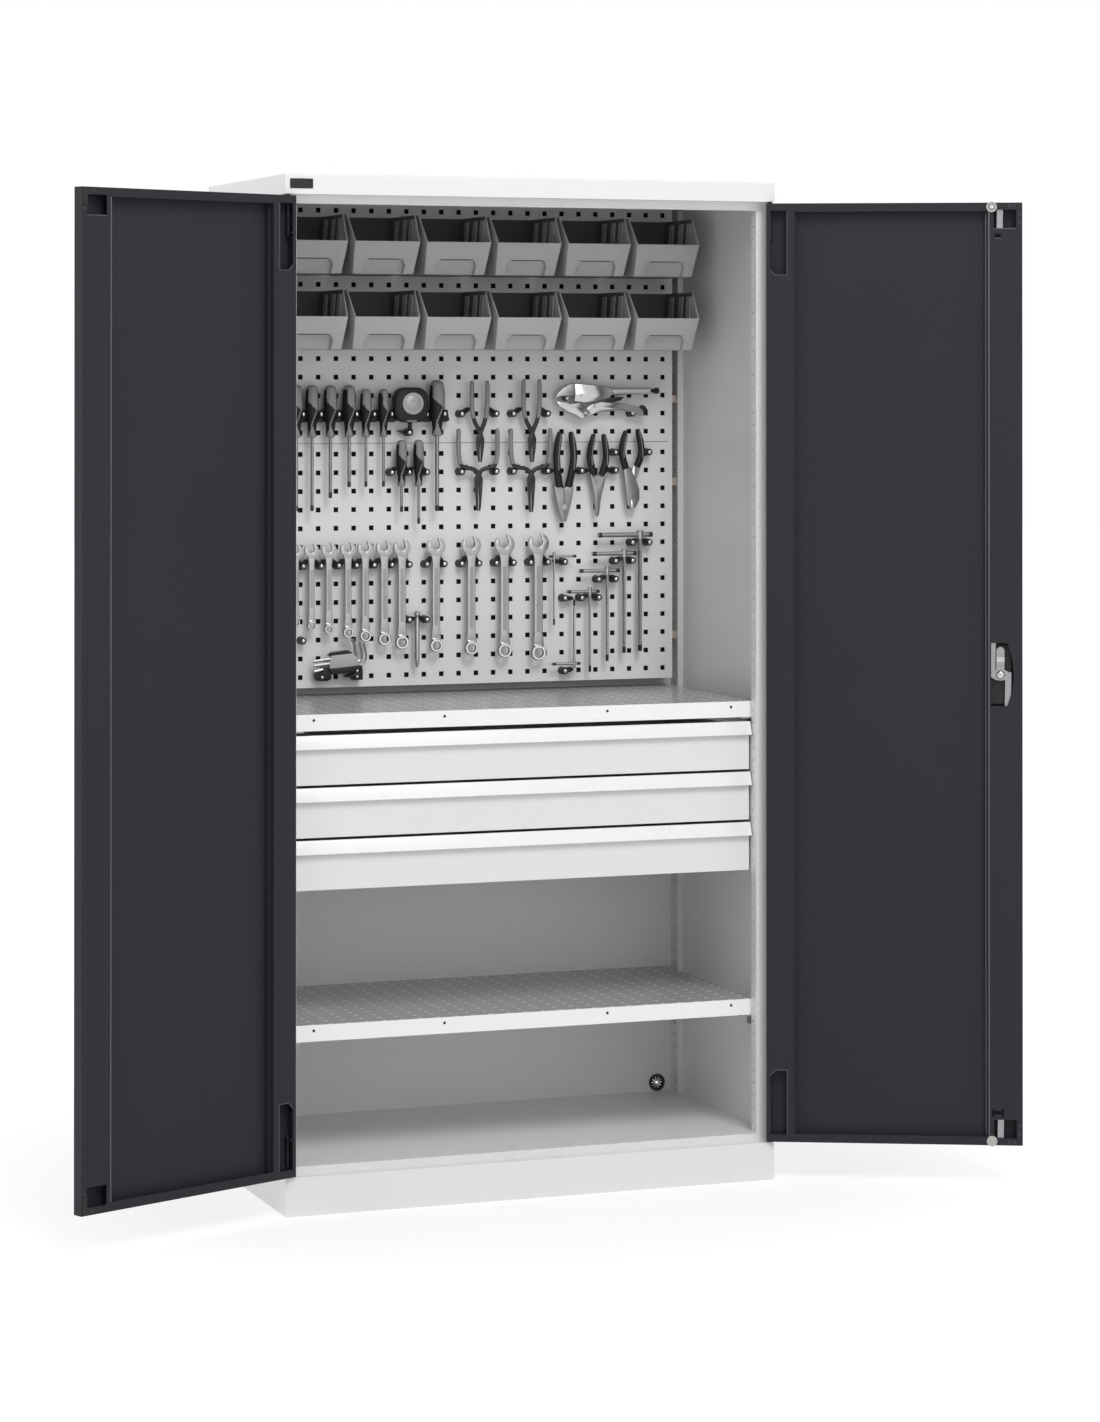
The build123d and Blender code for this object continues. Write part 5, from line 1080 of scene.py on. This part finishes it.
class OBJECT_OT_cabinet_door_trim(bpy.types.Operator):
    """Add the rivets, folds, lips and rod guides on the doors' stiles, drawn with painted highlights and painted
    shade
    """
    bl_idname = "object.cabinet_door_trim"
    bl_label = "Door trim"

    def execute(self, context):
        for side, (name, _) in DOORS.items():
            parts = self.rivets(side) + self.folds(side)
            if side > 0:
                parts += self.rod_guides()
            carried(swing(join(f"door_{name}_trim", parts), side), f"door_{name}", "door_paint")
        return {"FINISHED"}

    def rivets(self, side):
        """Round rivets at the corners of the free edge: a lighter rim as painted highlight, and a dark middle as
        painted shade.
        """
        r = bpy.context.scene.cabinet_sizes.rivet / MM / 2
        rim = [(r * 0.55, 0.05), (r * 0.72, 0.7), (r * 0.95, 0.5), (r, 0), (r, -1), (r * 0.55, -1)]
        middle = [(0, 0.1), (r * 0.6, 0.1), (r * 0.6, -0.8), (0, -0.8)]
        places = [(u, edge - end * drop) for edge, end in ((1957.5, 1), (77.5, -1))
                  for u, drop in ((484.5, 6.4), (494, 6.4), (504.5, 24), (504.5, 40))]
        return [lathe("rivet", shape, (side * (DOOR_EDGE - u), DOOR_INNER, z), material, "Y", 18)
                for u, z in places for shape, material in ((rim, "door_painted_highlight"), (middle, "painted_shade_black"))]

    def folds(self, side):
        """Lighter bands along the stiles' folds and the lips of the windows and hinge pockets: painted highlights.
        """
        front, back = DOOR_INNER - 0.8, DOOR_INNER + 0.25
        blocks = (("fold", 442.3, 445.3, front, back, STILE_LOW, STILE_HIGH, 0.4),
                  ("step", 436.9, 439.3, DOOR_INNER - 10.6, DOOR_INNER - 9.7, STILE_LOW, STILE_HIGH, 0.3),
                  ("lip", 453.5, 498.5, front, back, 1905, 1906.6, 0.3))
        parts = [box_piece(name, (side * (DOOR_EDGE - u0), y0, z0), (side * (DOOR_EDGE - u1), y1, z1),
                           "door_painted_highlight", rounding) for name, u0, u1, y0, y1, z0, z1, rounding in blocks]
        pocket = ((41, 1942), (42.4, 1942), (42.4, 1813.2), (18.4, 1813.2), (8, 1823.6), (8, 1825.5),
                  (19, 1814.5), (41, 1814.5))
        for flip in (False, True):
            lip = [(side * (DOOR_EDGE - u), STILE_LOW + STILE_HIGH - z if flip else z) for u, z in pocket]
            parts.append(prism("pocket_lip", lip, front, back, "door_painted_highlight", 0.2, 1))
        return parts

    def rod_guides(self):
        """Slots of the rod guides in the right door's free stile, dark as painted shade, one with a lighter lower
        edge as painted highlight; and the face of its upper buffer.
        """
        slots = ((455, 468, 1887.5, 1895.5, "painted_shade_black"), (455, 468, 1885.6, 1887.5, "door_painted_highlight"),
                 (453, 470, 139, 146, "painted_shade_black"), (450, 454, 134, 150, "painted_shade_black"),
                 (469, 473, 134, 150, "painted_shade_black"))
        # The buffer's face: a grey ring in its groove as painted shade, and a bright centre as painted highlight.
        faces = (([(3.9, 1.0), (6.8, 1.0), (6.8, 1.25), (3.9, 1.25)], "grip_grey"),
                 ([(0, 1.5), (3.6, 1.5), (3.6, 1.74), (3.0, 1.84), (0, 1.88)], "polished_steel_and_highlight"))
        return [box_piece("guide", (DOOR_EDGE - u1, DOOR_INNER - 0.5, z0), (DOOR_EDGE - u0, DOOR_INNER + 0.3, z1),
                          material, 0.2, 1) for u0, u1, z0, z1, material in slots] + [
            lathe("buffer_face", profile, (62, DOOR_INNER, 1949), material, "Y", 32)
            for profile, material in faces]


class OBJECT_OT_cabinet_lock_fittings(bpy.types.Operator):
    """Add the screw and washer in the middle of the lock's cam, and a bright band on the fold of its arm, a painted
    highlight
    """
    bl_idname = "object.cabinet_lock_fittings"
    bl_label = "Lock fittings"

    def execute(self, context):
        x, y, z = 45.0, -251.5, 1015.0
        parts = [lathe("washer", [(0, -0.3), (7.6, -0.3), (8.0, 0.1), (8.0, 0.6), (0, 0.6)], (x, y - 0.2, z),
                       "dark_steel", "Y"),
                 lathe("screw", [(0, 1.4), (2.4, 1.4), (2.7, 2.2), (5.4, 2.2), (6.6, 1.5), (6.9, 0.4), (6.9, 0),
                                 (0, 0)], (x, y + 0.2, z), "bright_chrome", "Y"),
                 # Painted highlight: a bright band on the arm's fold.
                 box_piece("fold", (x - 8.1, y - 0.8, z + 26), (x + 8.1, y + 0.3, z + 36), "bright_chrome", 0.3, 1)]
        carried(swing(join("lock_screw", parts), 1), "lock", "zinc")
        return {"FINISHED"}


class OBJECT_OT_cabinet_hole_liners(bpy.types.Operator):
    """Add the plugs of the shelves' holes, the seam of the boards and the dark liners behind the holes, which are
    painted shade
    """
    bl_idname = "object.cabinet_hole_liners"
    bl_label = "Plugs and liners"

    def execute(self, context):
        for name in ("worktop_shelf", "lower_shelf"):
            (_, front, _), (_, _, top) = box_of(name)
            plugs = [lathe("plug", [(0, -0.5), (2.2, -0.4), (2.9, 0), (2.2, 0.2), (2.2, 2.0), (0, 2.0)],
                           (x, front, top - 11.2), "black_moulding", "Y", 16) for x in (-438, -171, 171, 438)]
            carried(join(f"{name}_plugs", plugs), "cabinet", "black_plastic")
        for name in ("pegboard_upper", "pegboard_lower"):
            (x0, front, bottom), (x1, _, top) = box_of(name)
            self.painted_shade_liner(name, (x0 + 3, front + 2.4, bottom + 3), (x1 - 3, front + 3.2, top - 3))
        for name, side in (("front_stile_left", -1), ("front_stile_right", 1)):
            self.painted_shade_liner(name, (side * 483.1, -241, 92), (side * 483.9, -229, 1950))
        seam = box_of("pegboard_lower")[1][2]
        line = box_piece("board_seam", (-470, BOARD_FRONT - 0.15, seam - 0.5),
                         (470, BOARD_FRONT + 1.4, seam + 1.0), "grip_grey", 0.1, 1)
        carried(line, "cabinet", "black_plastic")
        for name, side in (("rear_upright_left", -1), ("rear_upright_right", 1)):
            low, high = box_of(name)
            edge = high[0] if side < 0 else low[0]
            self.painted_shade_liner(name, (edge + side * 1.6, low[1] + 3, low[2] + 2),
                       (edge + side * 2.4, high[1] - 3, high[2] - 2))
        return {"FINISHED"}

    def painted_shade_liner(self, name, low, high):
        """A thin dark sheet that closes the view through the holes: painted shade."""
        carried(box_piece(f"{name}_liner", low, high, "painted_shade_black", 0.2, 1), "cabinet", "black_plastic")


# ---- stage ---------------------------------------------------------------------------------------

# Name, place and aim in metres, watts, share of the lamp size
LAMPS = (("key_lamp", (0.1, -6.6, 7.7), (0.0, 0.0, 1.1), 390, 0.9),
         ("front_lamp", (0.6, -9.0, 3.0), (0.0, 0.0, 1.1), 52, 0.8),
         ("side_lamp", (-6.5, -0.6, 2.8), (-0.5, 0.0, 1.3), 112, 0.7),
         ("far_lamp", (5.5, 3.0, 2.6), (0.5, 0.0, 1.0), 55, 0.7))
WORLD_ON_SURFACES = 0.565         # strength of the white surroundings as a light; 1 where they are seen


class OBJECT_OT_cabinet_stage(bpy.types.Operator):
    """Add the pale floor, the soft lamps, the white surroundings and the camera"""
    bl_idname = "object.cabinet_stage"
    bl_label = "Stage"

    def execute(self, context):
        self.add_floor()
        self.add_world(context)
        self.add_lamps(context)
        self.add_camera(context)
        context.scene.view_settings.view_transform = "Standard"
        return {"FINISHED"}

    def add_floor(self):
        """A pale floor that keeps the object's shadow and turns to plain white away from it."""
        deselect()
        bpy.ops.mesh.primitive_plane_add(size=60, location=(0, 0, 0))
        floor = active("floor")
        material = bpy.data.materials.new("pale_floor")
        material.use_nodes = True
        tree = material.node_tree
        shader = connect(tree, tree.nodes["Principled BSDF"],
                         {"Base Color": (0.85, 0.85, 0.85, 1), "Roughness": 0.9})
        glow = add(tree, "Emission", {"Strength": 1.12})
        rays = add(tree, "LightPath").outputs
        seen = combine(tree, "MAXIMUM", rays["Is Camera Ray"], rays["Is Glossy Ray"])
        away = add(tree, "VectorMath", {0: object_place(tree)}, operation="LENGTH").outputs["Value"]
        share = map_range(tree, away, from_min=0.7, from_max=1.7, to_min=0.62)
        blend = add(tree, "MixShader", {"Fac": combine(tree, "MULTIPLY", share, seen), 1: shader.outputs[0],
                                        2: glow.outputs[0]})
        connect(tree, tree.nodes["Material Output"], {"Surface": blend.outputs[0]})
        floor.data.materials.append(material)

    def add_world(self, context):
        """White surroundings: full where they are seen or mirrored, weaker as a light."""
        world = bpy.data.worlds.new("studio")
        context.scene.world = world
        world.use_nodes = True
        tree = world.node_tree
        rays = add(tree, "LightPath").outputs
        seen = combine(tree, "MAXIMUM", rays["Is Camera Ray"], rays["Is Glossy Ray"])
        seen = combine(tree, "MAXIMUM", rays["Is Transmission Ray"], seen)
        connect(tree, tree.nodes["Background"],
                {"Color": (1, 1, 1, 1), "Strength": map_range(tree, seen, to_min=WORLD_ON_SURFACES)})

    def add_lamps(self, context):
        for name, place, aim, power, share in LAMPS:
            bpy.ops.object.light_add(type="AREA", location=place)
            lamp = context.active_object
            lamp.name = name
            lamp.data.energy = power
            lamp.data.size = context.scene.cabinet_sizes.lamp_size * share
            lamp.rotation_euler = (Vector(aim) - Vector(place)).to_track_quat("-Z", "Y").to_euler()

    def add_camera(self, context):
        bpy.ops.object.camera_add(location=(-2.617, -7.4077, 1.6073),
                                  rotation=(radians(90.285), 0, radians(-20.365)))
        camera = context.active_object
        camera.name = "photo_camera"
        camera.data.sensor_width = 36
        camera.data.lens = 98.0
        camera.data.shift_y = -0.2477
        camera.data.clip_start = 0.1
        camera.data.clip_end = 100
        context.scene.camera = camera


# ---- panel and registration ----------------------------------------------------------------------

OPERATORS = (OBJECT_OT_cabinet_finishes, OBJECT_OT_cabinet_handles, OBJECT_OT_cabinet_bins,
             OBJECT_OT_cabinet_screwdrivers, OBJECT_OT_cabinet_tape_measure, OBJECT_OT_cabinet_circlip_pliers,
             OBJECT_OT_cabinet_gripping_pliers, OBJECT_OT_cabinet_locking_pliers, OBJECT_OT_cabinet_wrenches,
             OBJECT_OT_cabinet_keys, OBJECT_OT_cabinet_holders, OBJECT_OT_cabinet_door_trim,
             OBJECT_OT_cabinet_lock_fittings, OBJECT_OT_cabinet_hole_liners, OBJECT_OT_cabinet_stage)


class VIEW3D_PT_cabinet(bpy.types.Panel):
    """Lists the cabinet's operators and their sizes and colours"""
    bl_label = "Tool cabinet"
    bl_idname = "VIEW3D_PT_cabinet"
    bl_space_type = "VIEW_3D"
    bl_region_type = "UI"
    bl_category = "Cabinet"

    def draw(self, context):
        for operator in OPERATORS:
            self.layout.operator(operator.bl_idname)
        for group in (context.scene.cabinet_sizes, context.scene.cabinet_colours):
            for name in group.__annotations__:
                self.layout.prop(group, name)


CLASSES = (CabinetColours, CabinetSizes) + OPERATORS + (VIEW3D_PT_cabinet,)


def register():
    for cls in CLASSES:
        bpy.utils.register_class(cls)
    bpy.types.Scene.cabinet_colours = PointerProperty(type=CabinetColours)
    bpy.types.Scene.cabinet_sizes = PointerProperty(type=CabinetSizes)


def unregister():
    del bpy.types.Scene.cabinet_sizes
    del bpy.types.Scene.cabinet_colours
    for cls in reversed(CLASSES):
        bpy.utils.unregister_class(cls)


def main():
    register()
    deselect()
    for operator in OPERATORS:
        getattr(bpy.ops.object, operator.bl_idname.split(".")[1])()


if __name__ == "__main__":
    main()
